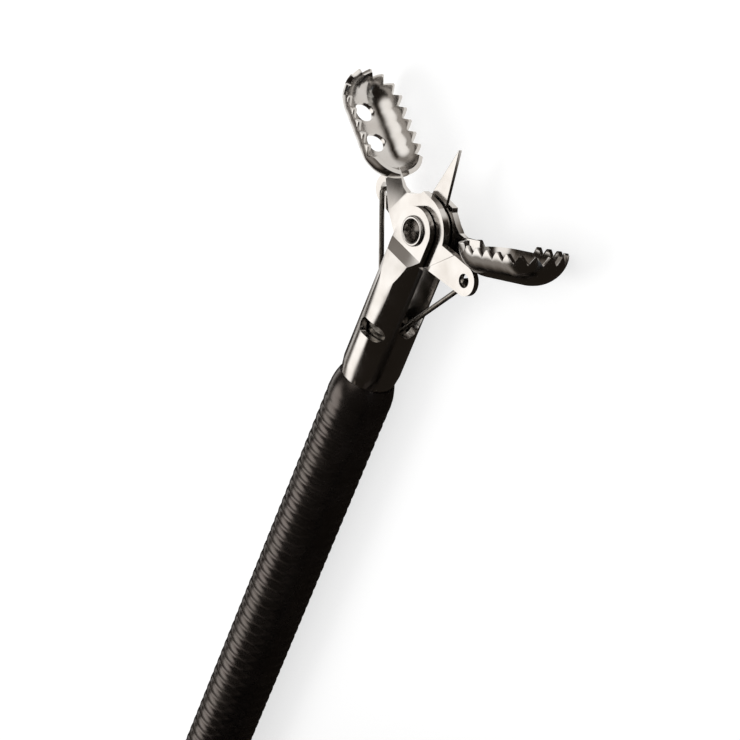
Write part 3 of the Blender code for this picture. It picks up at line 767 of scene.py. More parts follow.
@dataclass
class Studio:
    """Camera, floor, lamp, white room and a tent of painted reflections.

    Angles are in degrees. The camera's direction is built about the shaft's axis (x), the
    sideways axis towards the camera (-y) and the pivot's axis (z).
    """

    pitch: float = 29.19
    turn: float = 43.1
    roll: float = 22.38
    distance: float = 93.4 * MM
    focal_px: float = 2674.0
    frame_px: float = 740.0
    pivot_px: Point = (427.6, 230.3)
    key_distance: float = 0.3
    key_size: float = 0.15
    key_power: float = 0.36
    floor_size: float = 3.0
    floor_grey: float = 0.4
    floor_glow: float = 0.72
    room_light: float = 0.6
    tent_radius: float = 0.5
    # Painted reflections: a dim glow over the whole dome, and tints from warm where dim to near
    # white where bright.
    painted_dark_glow: float = 0.035
    painted_reflection_tints: tuple[str, str] = ("C8B5A2", "FFFDFA")
    horizon_share: float = 0.3
    # Painted reflection of a bright floor, seen low round the horizon and on the base disc.
    painted_floor_reflection: Glow = Glow((0.64, 0.77, 0.0), 68.0, 20.0, 1.15)
    # Painted highlights: patches that polished surfaces see as reflections of soft boxes; they
    # light nothing else.
    painted_box_reflections: tuple[Glow, ...] = (
        Glow((-0.488, 0.525, 0.697), 12.0, 13.0, 1.95),
        Glow((0.55, 0.05, 0.83), 6.0, 30.0, 1.6),
        Glow((0.6, 0.6, 0.53), 22.0, 14.0, 0.42),
        Glow((-0.9, 0.4, 0.17), 12.0, 22.0, 0.45),
    )

    def directions(self) -> tuple[Vector, Vector, Vector]:
        """The picture's right and up directions, and the direction to the camera.

        Returns:
            Three unit vectors in the frame.
        """
        pitch, turn, roll = (math.radians(a) for a in (self.pitch, self.turn, self.roll))
        level = math.cos(pitch)
        back = Vector((math.sin(pitch), -level * math.sin(turn), level * math.cos(turn)))
        along = Vector((1, 0, 0))
        up = (along - back * back.dot(along)).normalized()
        right = up.cross(back)
        picture_right = right * math.cos(roll) + up * math.sin(roll)
        picture_up = up * math.cos(roll) - right * math.sin(roll)
        return picture_right, picture_up, back

    def camera(self) -> None:
        """Places the camera as it stood for the picture."""
        right, up, back = self.directions()
        half = self.frame_px / 2
        across = (self.pivot_px[0] - half) * self.distance / self.focal_px
        above = -(self.pivot_px[1] - half) * self.distance / self.focal_px
        data = bpy.data.cameras.new("picture_camera")
        data.lens = data.sensor_width * self.focal_px / self.frame_px
        data.clip_start = 0.002
        data.clip_end = 20.0
        camera = bpy.data.objects.new("picture_camera", data)
        bpy.context.scene.collection.objects.link(camera)
        place = Matrix((right, up, back)).transposed().to_4x4()
        place.translation = PIVOT + back * self.distance - right * across - up * above
        camera.matrix_world = place
        bpy.context.scene.camera = camera

    def lamp(self, towards: Vector) -> None:
        """A square soft box that faces the jaws.

        Args:
            towards: Direction from the jaws to the lamp.
        """
        data = bpy.data.lights.new("key_soft_box", "AREA")
        data.size = self.key_size
        data.energy = self.key_power
        lamp = bpy.data.objects.new("key_soft_box", data)
        lamp.visible_glossy = False
        bpy.context.scene.collection.objects.link(lamp)
        way = towards.normalized()
        place = way.to_track_quat("Z", "Y").to_matrix().to_4x4()
        place.translation = PIVOT + way * self.key_distance
        lamp.matrix_world = place

    def floor(self) -> None:
        """A matt white table that keeps the soft shadow, and glows only where it is seen."""
        half = self.floor_size / 2
        sheet = box("table_top", (-half, -half, -0.02), (half, half, -2e-5))
        values = {
            "Base Color": grey(self.floor_grey), "Roughness": 0.8, "Specular IOR Level": 0.1,
        }
        made, tree, shader = new_material("matt_white_laminate", values)
        path = add_node(tree, "ShaderNodeLightPath").outputs
        lift = path["Is Camera Ray"]
        for kind, term in (
            ("ADD", path["Is Glossy Ray"]),
            ("ADD", path["Is Transmission Ray"]),
            ("MULTIPLY", self.floor_glow),
        ):
            inputs = {0: lift, 1: term}
            lift = add_node(
                tree, "ShaderNodeMath", inputs, operation=kind, use_clamp=True
            ).outputs[0]
        glow = add_node(tree, "ShaderNodeEmission", {"Color": grey(1.0), "Strength": lift})
        inputs = {0: shader.outputs["BSDF"], 1: glow.outputs["Emission"]}
        both = add_node(tree, "ShaderNodeAddShader", inputs)
        tree.links.new(both.outputs["Shader"], tree.nodes["Material Output"].inputs["Surface"])
        sheet.data.materials.append(made)

    def world(self) -> None:
        """A white room for the camera and for gloss, and a softer light from it."""
        made = bpy.data.worlds.new("white_room")
        made.use_nodes = True
        tree = made.node_tree
        path = add_node(tree, "ShaderNodeLightPath")
        inputs = {
            "Value": path.outputs["Is Diffuse Ray"], "To Min": 1.0, "To Max": self.room_light,
        }
        dim = add_node(tree, "ShaderNodeMapRange", inputs)
        tree.nodes["Background"].inputs["Color"].default_value = grey(1.0)
        tree.links.new(dim.outputs["Result"], tree.nodes["Background"].inputs["Strength"])
        bpy.context.scene.world = made

    def reflections(self) -> None:
        """Dome and base disc that only polished surfaces see: they glow with painted reflections of
        soft boxes and of a bright floor, and are painted dark elsewhere.
        """
        shape = bmesh.new()
        bmesh.ops.create_uvsphere(shape, u_segments=96, v_segments=48, radius=self.tent_radius)
        whole = shape.verts[:] + shape.edges[:] + shape.faces[:]
        bmesh.ops.bisect_plane(
            shape, geom=whole, plane_co=(0, 0, 0), plane_no=(0, 0, -1), clear_outer=True
        )
        rim = [e for e in shape.edges if e.is_boundary]
        bmesh.ops.holes_fill(shape, edges=rim, sides=0)
        tent = to_object("reflection_tent", shape)
        tent.location = (PIVOT.x, PIVOT.y, -1e-5)
        values = {"Base Color": grey(0.0), "Roughness": 1.0, "Specular IOR Level": 0.0}
        made, tree, shader = new_material("painted_reflection_dome", values)
        place = add_node(tree, "ShaderNodeTexCoord").outputs["Object"]
        way = add_node(tree, "ShaderNodeVectorMath", {0: place}, operation="NORMALIZE").outputs[0]
        # Painted reflections of the soft boxes; where patches overlap, the brightest wins.
        painted_box_glow, *others = (glow.socket(tree, way) for glow in self.painted_box_reflections)
        for other in others:
            inputs = {0: painted_box_glow, 1: other}
            painted_box_glow = add_node(tree, "ShaderNodeMath", inputs, operation="MAXIMUM").outputs[0]
        height = add_node(tree, "ShaderNodeSeparateXYZ", {"Vector": place}).outputs["Z"]
        inputs = {"Value": height, "From Max": self.horizon_share * self.tent_radius}
        above = add_node(tree, "ShaderNodeMapRange", inputs).outputs["Result"]
        # Low on the dome the painted floor reflection, higher up the painted soft boxes.
        inputs = {"Factor": above, "A": self.painted_floor_reflection.socket(tree, way), "B": painted_box_glow}
        total = add_node(tree, "ShaderNodeMix", inputs).outputs["Result"]
        # A dim painted glow under every patch, so the rest of the dome shows as dark reflection.
        inputs = {0: total, 1: self.painted_dark_glow}
        lit = add_node(tree, "ShaderNodeMath", inputs, operation="ADD").outputs[0]
        # Painted tint of the reflections: warm where dim, near white where bright.
        dim, bright = (linear(code) for code in self.painted_reflection_tints)
        texture(tree, shader, {"Emission Color": (lit, [(0.05, dim), (0.8, bright)])})
        tree.links.new(lit, shader.inputs["Emission Strength"])
        tent.data.materials.append(made)
        tent.visible_camera = False
        tent.visible_diffuse = False
        tent.visible_shadow = False
        tent.visible_transmission = False

    def build(self) -> None:
        """Builds the whole studio."""
        self.camera()
        self.floor()
        self.world()
        self.reflections()
        self.lamp(Vector(self.painted_box_reflections[0].towards))
        bpy.context.scene.view_settings.view_transform = "Standard"


# Shaft


class SweepTree:
    """Geometry Nodes that sweep a round section along a line, with ridges along it.

    STEPS names each Math node's result, then its operation and terms. They give the radius at
    each point: it grows over the shoulder, and valleys between the ridges fade in after it.
    """

    INPUTS = ("Radius", "Ridge pitch", "Ridge depth", "Ridged length", "Front radius", "Shoulder")
    STEPS = (
        ("share", "DIVIDE", "length", "Shoulder"),
        ("reached", "MINIMUM", "share", 1.0),
        ("left", "SUBTRACT", 1.0, "reached"),
        ("left squared", "MULTIPLY", "left", "left"),
        ("bend", "SUBTRACT", 1.0, "left squared"),
        ("rise", "SUBTRACT", "Radius", "Front radius"),
        ("risen", "MULTIPLY", "rise", "bend"),
        ("body", "ADD", "Front radius", "risen"),
        ("way", "MULTIPLY", "length", 2 * math.pi),
        ("turn", "DIVIDE", "way", "Ridge pitch"),
        ("crest", "COSINE", "turn"),
        ("fall", "SUBTRACT", 1.0, "crest"),
        ("half fall", "MULTIPLY", "fall", 0.5),
        ("valley", "MULTIPLY", "half fall", "half fall"),
        ("ridged", "LESS_THAN", "length", "Ridged length"),
        ("plain", "SUBTRACT", 1.0, "ridged"),
        ("half share", "MULTIPLY", "share", 0.5),
        ("faded", "MINIMUM", "half share", 1.0),
        ("faded squared", "MULTIPLY", "faded", "faded"),
        ("grown", "MULTIPLY", "faded squared", "ridged"),
        ("depth", "MULTIPLY", "Ridge depth", "grown"),
        ("dip", "MULTIPLY", "valley", "depth"),
        ("size", "SUBTRACT", "body", "dip"),
    )

    def __init__(self, name: str, material: bpy.types.Material, sides: int) -> None:
        """Builds the tree.

        Args:
            name: Tree's name.
            material: Finish of the sweep.
            sides: Number of sides of the round section.
        """
        self.tree = bpy.data.node_groups.new(name, "GeometryNodeTree")
        face = self.tree.interface
        face.new_socket("Geometry", in_out="INPUT", socket_type="NodeSocketGeometry")
        self.sockets = {
            label: face.new_socket(label, in_out="INPUT", socket_type="NodeSocketFloat").identifier
            for label in self.INPUTS
        }
        face.new_socket("Geometry", in_out="OUTPUT", socket_type="NodeSocketGeometry")
        self.fill(material, sides)

    def fill(self, material: bpy.types.Material, sides: int) -> None:
        """Adds the nodes.

        Args:
            material: Finish of the sweep.
            sides: Number of sides of the round section.
        """
        tree = self.tree
        given = add_node(tree, "NodeGroupInput").outputs
        found = {label: given[label] for label in self.INPUTS}
        found["length"] = add_node(tree, "GeometryNodeSplineParameter").outputs["Length"]
        for name, kind, *terms in self.STEPS:
            inputs = {number: found.get(term, term) for number, term in enumerate(terms)}
            found[name] = add_node(tree, "ShaderNodeMath", inputs, operation=kind).outputs[0]
        inputs = {"Resolution": sides, "Radius": 1.0}
        ring = add_node(tree, "GeometryNodeCurvePrimitiveCircle", inputs).outputs["Curve"]
        flow = given["Geometry"]
        for kind, entry, inputs in (
            ("StoreNamedAttribute", "Geometry", {"Name": "shaft_length", "Value": found["length"]}),
            ("StoreNamedAttribute", "Geometry", {"Name": "shaft_plain", "Value": found["plain"]}),
            ("CurveToMesh", "Curve", {"Profile Curve": ring, "Scale": found["size"]}),
            ("RealizeInstances", "Geometry", {}),
            ("SetMaterial", "Geometry", {"Material": material}),
        ):
            flow = add_node(tree, f"GeometryNode{kind}", {entry: flow, **inputs}).outputs[0]
        add_node(tree, "NodeGroupOutput", {"Geometry": flow})

    def sweep(self, name: str, points: Sequence[Vector], **sizes: float) -> bpy.types.Object:
        """Sweeps the section along points.

        Args:
            name: Object's name.
            points: The centre line in metres.
            **sizes: The tree's inputs, with underscores for spaces.

        Returns:
            A plain mesh object, open at both ends.
        """
        curve = bpy.data.curves.new(name, "CURVE")
        curve.dimensions = "3D"
        spline = curve.splines.new("POLY")
        spline.points.add(len(points) - 1)
        for knot, place in zip(spline.points, points):
            knot.co = (*place, 1.0)
        line = bpy.data.objects.new(name, curve)
        bpy.context.scene.collection.objects.link(line)
        nodes = line.modifiers.new("sweep", "NODES")
        nodes.node_group = self.tree
        for label, value in sizes.items():
            nodes[self.sockets[label.replace("_", " ").capitalize()]] = value
        return evaluated(line)


@dataclass
class FlexibleShaft:
    """Jacketed coil shaft: ridged where it is seen, then wound into a neat coil."""

    finishes: Finishes
    length: float = 1.55
    radius: float = 1.2 * MM
    front: float = -6.34 * MM
    front_radius: float = 1.045 * MM
    shoulder: float = 0.85 * MM
    ridge_pitch: float = 0.44 * MM
    ridge_depth: float = 0.04 * MM
    rings_a_ridge: int = 8
    shank_radius: float = 1.02 * MM
    shank_end: float = -10.7 * MM
    coil_radius: float = 20.0 * MM
    coil_pitch: float = 2.45 * MM
    layers: int = 4
    layer_turns: float = 3.875
    rings_a_turn: int = 48
    sides: int = 40
    nose_gap: float = 0.6 * MM
    climb_turns: float = 0.125
    tail_points: int = 40

    def straight(self, coil: Vector) -> list[Vector]:
        """Centre line from the clevis to the coil.

        Args:
            coil: Centre of the coil.

        Returns:
            Points, several to each ridge.
        """
        start = PIVOT + Vector((self.front, 0, 0))
        end = Vector((coil.x, PIVOT.y, self.radius))
        count = int((start - end).length / self.ridge_pitch * self.rings_a_ridge)
        return [start.lerp(end, i / count) for i in range(count)]

    def wound(self, coil: Vector) -> list[Vector]:
        """Centre line of the coil's layers, wound inwards and outwards by turns.

        Args:
            coil: Centre of the coil.

        Returns:
            Points round the coil.
        """
        points = []
        inner = self.coil_radius - self.layer_turns * self.coil_pitch
        count = int(self.layers * self.layer_turns * self.rings_a_turn)
        hold = self.climb_turns / self.layer_turns
        for i in range(count + 1):
            way = self.layers * i / count
            layer = min(int(way), self.layers - 1)
            run = min(max((way - layer - hold) / (1 - 2 * hold), 0.0), 1.0)
            inward = run if layer % 2 == 0 else 1 - run
            radius = self.coil_radius + (inner - self.coil_radius) * inward
            angle = math.pi / 2 + 2 * math.pi * self.layer_turns * way
            spoke = Vector((math.cos(angle), math.sin(angle), 0)) * radius
            points.append(Vector((coil.x, coil.y, self.height(way))) + spoke)
        return points

    def height(self, way: float) -> float:
        """Height of the axis in the coil; it climbs over a quarter turn at each layer's end.

        Args:
            way: Number of layers wound so far.

        Returns:
            The height in metres.
        """
        climb = self.climb_turns / self.layer_turns
        rises = [eased((way - edge + climb) / (2 * climb)) for edge in range(1, self.layers)]
        return self.radius + sum(rises) * self.coil_pitch

    def tail(self, coil: Vector) -> list[Vector]:
        """Centre line from the coil's top layer into the nose of the handle.

        Args:
            coil: Centre of the coil.

        Returns:
            Points along the tail.
        """
        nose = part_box("nose_cap")[0][0]
        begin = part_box("sheath_tail")[0][0]
        high = self.radius + (self.layers - 1) * self.coil_pitch
        low = middle("nose_cap").z
        points = []
        last = nose - self.nose_gap
        for i in range(1, self.tail_points + 1):
            x = coil.x + (last - coil.x) * i / self.tail_points
            ease = eased((x - begin) / (nose - begin))
            points.append(Vector((x, coil.y - self.coil_radius, high + (low - high) * ease)))
        return points

    def close_ends(self, tube: bpy.types.Object) -> None:
        """Closes the tail end, and makes the front a pocket for the clevis shank.

        Args:
            tube: The swept tube.
        """
        shape = bmesh.new()
        shape.from_mesh(tube.data)
        bmesh.ops.remove_doubles(shape, verts=shape.verts, dist=1e-8)
        rims = [e for e in shape.edges if e.is_boundary]
        front = [e for e in rims if e.verts[0].co.y > PIVOT.y - 4 * self.radius]
        back = [e for e in rims if e not in front]
        bmesh.ops.holes_fill(shape, edges=back, sides=0)
        for end in (self.front, self.shank_end):
            grown = bmesh.ops.extrude_edge_only(shape, edges=front)["geom"]
            front = [g for g in grown if isinstance(g, bmesh.types.BMEdge)]
            middle_point = PIVOT + Vector((end, 0, 0))
            for point in {v for e in front for v in e.verts}:
                spoke = Vector((0, point.co.y - PIVOT.y, point.co.z - PIVOT.z)).normalized()
                point.co = middle_point + spoke * self.shank_radius
        bmesh.ops.holes_fill(shape, edges=front, sides=0)
        bmesh.ops.recalc_face_normals(shape, faces=shape.faces)
        shape.to_mesh(tube.data)
        shape.free()

    def build(self) -> bpy.types.Object:
        """Builds the shaft as one swept tube.

        Returns:
            The shaft.
        """
        coil = middle("sheath_coil")
        straight = self.straight(coil)
        path = straight + self.wound(coil) + self.tail(coil)
        tree = SweepTree("ridged_sweep", self.finishes.jacket, self.sides)
        tube = tree.sweep(
            "flexible_shaft",
            path,
            radius=self.radius,
            ridge_pitch=self.ridge_pitch,
            ridge_depth=self.ridge_depth,
            ridged_length=abs(coil.x - PIVOT.x - self.front),
            front_radius=self.front_radius,
            shoulder=self.shoulder,
        )
        self.close_ends(tube)
        dress(
            tube,
            self.finishes.jacket,
            "instrument",
            ("sheath_collar", "sheath_run", "sheath_coil", "sheath_tail"),
            scale=1.0,
            smooth=60.0,
        )
        return tube


# Jaw end


@dataclass
class Housing:
    """Round clevis housing, slotted and flattened to two ears."""

    finishes: Finishes
    radius: float = 1.08
    rear: float = 6.3
    neck: float = 1.01
    neck_length: float = 0.5
    bore: float = 0.8
    shank_radius: float = 1.0
    shank_end: float = 10.5
    ear_face: float = 0.66
    ear_radius: float = 0.87
    ear_flat: float = 0.75
    facet: Point = (0.37, 0.9)
    ramp: float = 1.3
    taper: Point = (0.95, 1.75)
    slot_half: float = 0.45
    slot_bottom: float = 3.9
    pivot_hole: float = 0.53
    window_back: float = 4.05
    window_side: float = 0.2
    window_width: float = 1.15
    window_length: float = 0.6
    edge: float = 0.025

    def build(self) -> bpy.types.Object:
        """Builds the housing.

        Returns:
            The housing.
        """
        reach = self.ear_radius + 0.2
        blank = turned(
            "clevis_housing",
            [
                (0.0, reach),
                (self.radius, reach),
                (self.radius, -self.rear + self.neck_length),
                (self.neck, -self.rear),
                (self.shank_radius, -self.rear),
                (self.shank_radius, -self.shank_end),
                (0.0, -self.shank_end),
            ],
            128,
        )
        wide = 2 * self.radius
        facet_end = self.ear_flat + self.facet[0]
        flat_end = facet_end + self.ramp
        side = [
            (2 * reach, -self.ear_face),
            (2 * reach, self.ear_face),
            (-self.ear_flat, self.ear_face),
            (-facet_end, self.facet[1]),
            (-flat_end, self.radius),
            (-flat_end, wide),
            (-2 * self.shank_end, wide),
            (-2 * self.shank_end, -wide),
            (-flat_end, -wide),
            (-flat_end, -self.radius),
            (-facet_end, -self.facet[1]),
            (-self.ear_flat, -self.ear_face),
        ]
        plan = arc((0, 0), self.ear_radius, -math.pi / 2, math.pi / 2, 48) + [
            (-self.taper[0], self.ear_radius),
            (-self.taper[1], wide),
            (-2 * self.shank_end, wide),
            (-2 * self.shank_end, -wide),
            (-self.taper[1], -wide),
            (-self.taper[0], -self.ear_radius),
        ]
        forms = [
            plate("side_form", side, -wide, wide, UPRIGHT),
            plate("plan_form", plan, -wide, wide),
        ]
        body = combine(blank, forms, "INTERSECT")
        slot_end = -self.slot_bottom + self.slot_half
        slot = arc((slot_end, 0), self.slot_half, math.pi / 2, 3 * math.pi / 2, 24) + [
            (2 * reach, -self.slot_half),
            (2 * reach, self.slot_half),
        ]
        half = (self.window_width - self.window_length) / 2
        window = bar_outline(
            (-self.window_back, -self.window_side - half),
            self.window_length / 2,
            (-self.window_back, -self.window_side + half),
            self.window_length / 2,
            16,
        )
        tools = [
            rod("bore", self.bore, -2 * self.shank_end, slot_end, turn=ALONG_X, steps=96),
            plate("slot", slot, -wide, wide, UPRIGHT),
            rod("pivot_hole", self.pivot_hole, -wide, wide),
            plate("window", window, 0.0, wide),
        ]
        body = combine(body, tools, "DIFFERENCE")
        body = soften(body, self.edge, 38.0)
        place = Matrix.Translation(PIVOT)
        dress(body, self.finishes.steel, "instrument", ("clevis",), place, smooth=FLATS)
        return body


@dataclass
class Rivet:
    """Hollow pivot rivet with rolled lips."""

    finishes: Finishes
    radius: float = 0.5
    bore: float = 0.39
    lip: float = 0.545
    lip_low: float = 0.675
    end: float = 0.765

    def build(self) -> bpy.types.Object:
        """Builds the rivet.

        Returns:
            The rivet.
        """
        half: list[Point] = [(self.bore, 0.0), (self.bore, self.lip_low)]
        roll = (self.end - self.lip_low) / 2 + 0.012
        centre = (self.bore + roll + 0.02, self.end - roll)
        half += arc(centre, roll, math.pi, math.pi / 2, 8)
        outer = (self.lip - roll, self.end - roll)
        half += arc(outer, roll, math.pi / 2, -math.pi / 4, 10)
        half += [(self.radius, self.lip_low)]
        profile = half + [(r, -h) for r, h in reversed(half[1:])]
        rivet = turned("pivot_rivet_tube", profile, 72)
        rivet.data.transform(Matrix.Rotation(-math.pi / 2, 4, "Y"))
        dress(rivet, self.finishes.steel, "instrument", ("pivot_rivet",), Matrix.Translation(PIVOT))
        return rivet


@dataclass
class Spike:
    """Flat pointed blade on a disc round the rivet."""

    finishes: Finishes
    reach: float = 3.3
    reach: float = 3.3
    half_width: float = 0.4
    half_tip: float = 0.015
    shoulder: float = 1.4
    disc: float = 1.1
    half_thick: float = 0.1
    blade_half_thick: float = 0.065
    hole: float = 0.53
    edge: float = 0.018

    def build(self) -> bpy.types.Object:
        """Builds the spike.

        Returns:
            The spike.
        """
        blade = [
            (0.0, -self.half_width),
            (self.shoulder, -self.half_width),
            (self.reach, -self.half_tip),
            (self.reach, self.half_tip),
            (self.shoulder, self.half_width),
            (0.0, self.half_width),
        ]
        thick = self.half_thick
        spike = rod("tissue_spike", self.disc, -thick, thick)
        thin = self.blade_half_thick
        spike = combine(spike, [plate("blade", blade, -thin, thin)], "UNION")
        spike = combine(spike, [rod("hole", self.hole, -1, 1)], "DIFFERENCE")
        spike = soften(spike, self.edge)
        place = Matrix.Translation(PIVOT)
        dress(spike, self.finishes.steel, "instrument", ("center_spike",), place, smooth=FLATS)
        return spike


class JawSide(Enum):
    """The two jaws: CAD node, opening angle, and where the upper rim's teeth start."""

    LEFT = ("jaw_left", 62.3, 2.25)
    RIGHT = ("jaw_right", -64.0, 4.3)


@dataclass
class CupJaw:
    """Stamped jaw: toothed cup with two openings, neck, tang and tail."""

    finishes: Finishes
    side: JawSide
    start: float = 2.25
    length: float = 4.35
    half_width: float = 1.25
    depth: float = 1.15
    wall: float = 0.16
    rim: float = 0.03
    tooth_pitch: float = 0.5
    tooth_depth: float = 0.3
    tooth_land: float = 0.07
    teeth_start: float = 2.75
    smooth_share: float = 0.83
    rows: int = 14
    opening: float = 0.37
    opening_tip: float = 1.25
    opening_step: float = 1.25
    opening_lean: float = 6.0
    notch: Point = (0.4, 0.2)
    tang_low: float = 0.15
    tang_high: float = 0.4
    tang_radius: float = 1.3
    neck: Triple = (2.68, 0.42, 0.43)
    under_rim: tuple[Point, ...] = ((1.06, -0.75), (1.3, -0.32), (1.5, -0.08))
    rim_start: float = 1.775
    tail_radius: float = 2.82
    tail_end: float = 0.53
    tail_angle: float = 156.2
    tail_hole: float = 0.25
    strip_start: Triple = (1.0, -0.3, 0.58)
    crease: tuple[Point, Point] = ((1.084, -0.758), (1.845, 0.296))
    crease_drop: float = 0.03
    bevel_start: float = 1.4
    bevel_angle: float = 11.5
    pivot_hole: float = 0.53
    edge: float = 0.022

    def columns(self) -> list[tuple[float, float, float, float]]:
        """The rim's outline with its teeth.

        Returns:
            For each column, the spine's x, the outward direction's x and z, and the rim's height.
        """
        radius = self.half_width - self.wall / 2
        rear = self.start + self.half_width
        front = self.start + self.length - self.half_width
        side = front - self.teeth_start
        bend = math.pi * radius
        total = 2 * side + bend
        gaps = int(total / self.tooth_pitch)
        first = (total - (gaps - 1) * self.tooth_pitch) / 2
        reach = (self.tooth_pitch - self.tooth_land) / 2
        knots = [(0.0, 0.0)]
        for number in range(gaps):
            centre = first + number * self.tooth_pitch
            knots += [(centre + k * reach / 2, 1 - abs(k) / 2) for k in (-2, -1, 0, 1, 2)]
        knots.append((total, 0.0))
        smooth = self.smooth_share if self.side is JawSide.RIGHT else 0.0
        found = []
        for way, share in knots:
            flank = -1.0 if way < total / 2 else 1.0
            low = min(way, total - way)
            if low >= side:
                angle = -math.pi / 2 + (way - side) / radius
                spine, nx, nz = front, math.cos(angle), math.sin(angle)
                x = front + nx
            else:
                x = self.teeth_start + low
                lean = math.asin(min(max((rear - x) / radius, 0.0), 1.0))
                spine, nx, nz = max(x, rear), -math.sin(lean), flank * math.cos(lean)
            if flank > 0 and x < self.side.value[2]:
                share = smooth
            found.append((spine, nx, nz, self.rim + share * self.tooth_depth))
        last = math.asin((rear - self.teeth_start) / radius)
        steps = 8
        for k in range(1, 2 * steps):
            lean = last + (math.pi / 2 - last) * min(k, 2 * steps - k) / steps
            flank = 1.0 if k < steps else -1.0
            past = k < steps and radius * math.cos(lean) > self.tang_high + 0.05
            rim = self.rim + (smooth * self.tooth_depth if past else 0.0)
            found.append((rear, -math.sin(lean), flank * math.cos(lean), rim))
        return found

    def cup(self) -> bpy.types.Object:
        """The cup's shell, with its toothed rim and its two openings.

        Returns:
            The shell, open towards -y.
        """
        shape = bmesh.new()
        grid = []
        for spine, nx, nz, rim in self.columns():
            low = math.asin(rim / self.depth)
            column = []
            for row in range(self.rows + 1):
                rise = low + (math.pi / 2 - low) * row / self.rows
                out = self.half_width * math.cos(rise)
                column.append(
                    shape.verts.new((spine + nx * out, self.depth * math.sin(rise), nz * out))
                )
            grid.append(column)
        for i, column in enumerate(grid):
            after = grid[(i + 1) % len(grid)]
            for row in range(self.rows):
                shape.faces.new((column[row], after[row], after[row + 1], column[row + 1]))
        bmesh.ops.remove_doubles(shape, verts=shape.verts, dist=WELD)
        shape.normal_update()
        side = next(f for f in shape.faces if abs(f.calc_center_median().z) > 0.9 * self.half_width)
        if side.normal.z * side.calc_center_median().z < 0:
            bmesh.ops.reverse_faces(shape, faces=shape.faces)
        shell = to_object("shell", shape)
        wall = shell.modifiers.new("wall", "SOLIDIFY")
        wall.thickness = self.wall
        wall.offset = -1.0
        wall.use_even_offset = True
        shell = evaluated(shell)
        tools = []
        sign = -1 if self.side is JawSide.LEFT else 1
        tilt = Matrix.Rotation(sign * math.radians(self.opening_lean), 4, "X") @ ALONG_Y
        for number in range(2):
            x = self.start + self.length - self.opening_tip - number * self.opening_step
            hole = rod("opening", self.opening, 0.0, 2 * self.depth, turn=tilt, steps=48)
            hole.data.transform(Matrix.Translation((x, 0, 0)))
            tools.append(hole)
        half, deep = self.notch
        low = (self.rim_start, -half, -deep)
        tools.append(box("spike_notch", low, (self.start + 3 * self.wall, half, deep)))
        shell = combine(shell, tools, "DIFFERENCE")
        return soften(shell, self.edge, 42.0, 2)

    def plates(self) -> bpy.types.Object:
        """Tang, neck and tail in one flat plate.

        Returns:
            The plate.
        """
        low, high = self.tang_low, self.tang_high
        x, y, radius = self.neck
        neck = plate("neck", bar_outline((0, 0), self.tang_radius, (x, y), radius), low, high)
        cavity = self.start + 2 * self.wall
        far = 2 * self.length
        start = self.under_rim[0][0]
        under = [(start, -far), *self.under_rim, (self.rim_start, self.rim)]
        under += [(far, self.rim), (far, -far)]
        bevel = box("neck_bevel", (0, -far, 0), (far, far, 1))
        tilt = Matrix.Rotation(math.radians(self.bevel_angle), 4, "Y")
        bevel.data.transform(Matrix.Translation((self.bevel_start, 0, high)) @ tilt)
        cuts = [
            bevel,
            plate("under_rim", under, -1, 1),
            box("inside_cup", (cavity, -far, -1), (far, self.depth * 0.75, 1)),
        ]
        neck = combine(neck, cuts, "DIFFERENCE")
        turn = math.radians(self.tail_angle)
        along = Vector((math.cos(turn), -math.sin(turn)))
        across = Vector((-along.y, along.x))
        end = tuple(self.tail_radius * along)
        way, aside, wide = self.strip_start
        begin = tuple(way * along + aside * across)
        tail = plate("tail", bar_outline(begin, wide, end, self.tail_end), low, high)
        whole = combine(neck, [tail], "UNION")
        first, second = (a * along + b * across for a, b in self.crease)
        run = second - first
        out = Vector((-run.y, run.x)).normalized() * self.tail_radius
        if out.dot(along) < 0:
            out = -out
        beyond = [first - run, second + run, second + run + out, first - run + out]
        tools = [
            plate("crease", [tuple(p) for p in beyond], high - self.crease_drop, 1),
            rod("pivot_hole", self.pivot_hole, -1, 1),
            rod("tail_hole", self.tail_hole, -1, 1, centre=end, steps=40),
        ]
        whole = combine(whole, tools, "DIFFERENCE")
        return soften(whole, self.edge)

    def build(self) -> bpy.types.Object:
        """Builds the jaw in its open place.

        Returns:
            The jaw.
        """
        node, angle, _ = self.side.value
        jaw = joined(self.plates(), [self.cup()])
        jaw.name = f"cup_{node}"
        place = Matrix.Translation(PIVOT) @ Matrix.Rotation(math.radians(angle), 4, "Z")
        if self.side is JawSide.RIGHT:
            place = place @ Matrix.Rotation(math.pi, 4, "X")
        dress(jaw, self.finishes.steel, node, (node,), place, smooth=FLATS)
        return jaw


@dataclass
class DriveEnd:
    """Pull wires, yoke and the end of the drive cable."""

    finishes: Finishes
    edge: float = 0.03 * MM

    def build(self) -> list[bpy.types.Object]:
        """Builds the pieces.

        Returns:
            The pieces.
        """
        wire = self.finishes.wire
        return [
            refitted(node, wire, body, self.edge, 40.0)
            for node, body in (
                ("pull_wire_left", "wire_left"),
                ("pull_wire_right", "wire_right"),
                ("wire_yoke", "drive"),
                ("drive_cable", "drive"),
            )
        ]


# Handle


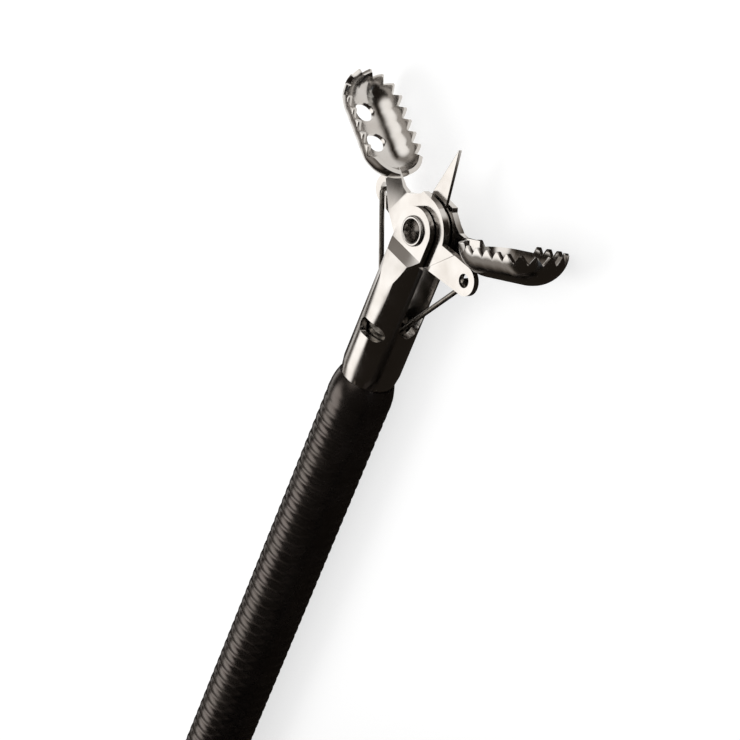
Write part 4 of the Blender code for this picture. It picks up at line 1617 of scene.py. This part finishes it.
@dataclass
class RingHandle:
    """Boot, ferrule, nose cap and the moulded barrel with its thumb ring."""

    finishes: Finishes
    edge: float = 0.35 * MM

    def build(self) -> list[bpy.types.Object]:
        """Builds the pieces.

        Returns:
            The pieces.
        """
        return [
            refitted(node, finish, "instrument", edge)
            for node, finish, slot, edge in (
                ("strain_relief", self.finishes.boot, "black_boot", 0.2 * MM),
                ("sheath_ferrule", self.finishes.steel, "polished_steel", 0.08 * MM),
                ("nose_cap", self.finishes.grey, "grey_moulding", self.edge),
                ("handle_body", self.finishes.white, "white_moulding", self.edge),
            )
        ]


@dataclass
class FingerSpool:
    """Two snapped spool halves, with the pin, slider, drive tube and screw that move with them."""

    finishes: Finishes
    edge: float = 0.5 * MM

    def build(self) -> list[bpy.types.Object]:
        """Builds the pieces.

        Returns:
            The pieces.
        """
        return [
            refitted(node, finish, "spool", edge)
            for node, finish, slot, edge in (
                ("spool_half_upper", self.finishes.white, "white_moulding", self.edge),
                ("spool_half_lower", self.finishes.white, "white_moulding", self.edge),
                ("slider_block", self.finishes.grey, "grey_moulding", 0.15 * MM),
                ("cross_pin", self.finishes.steel, "polished_steel", 0.15 * MM),
                ("drive_tube", self.finishes.steel, "polished_steel", 0.04 * MM),
                ("grub_screw", self.finishes.wire, "drawn_wire", 0.05 * MM),
            )
        ]


def main() -> None:
    """Builds the studio and every sub-assembly."""
    logging.basicConfig(level=logging.INFO, format="%(message)s")
    Studio().build()
    finishes = Finishes()
    makers: list[tuple[str, Callable[[], Any]]] = [
        ("flexible shaft", FlexibleShaft(finishes).build),
        ("housing", Housing(finishes).build),
        ("rivet", Rivet(finishes).build),
        ("spike", Spike(finishes).build),
        ("left jaw", CupJaw(finishes, JawSide.LEFT).build),
        ("right jaw", CupJaw(finishes, JawSide.RIGHT).build),
        ("drive end", DriveEnd(finishes).build),
        ("ring handle", RingHandle(finishes).build),
        ("finger spool", FingerSpool(finishes).build),
    ]
    for label, make in makers:
        made = make()
        names = [made.name] if isinstance(made, bpy.types.Object) else [p.name for p in made]
        LOG.info("%s: %s", label, ", ".join(names))


if __name__ == "__main__":
    main()
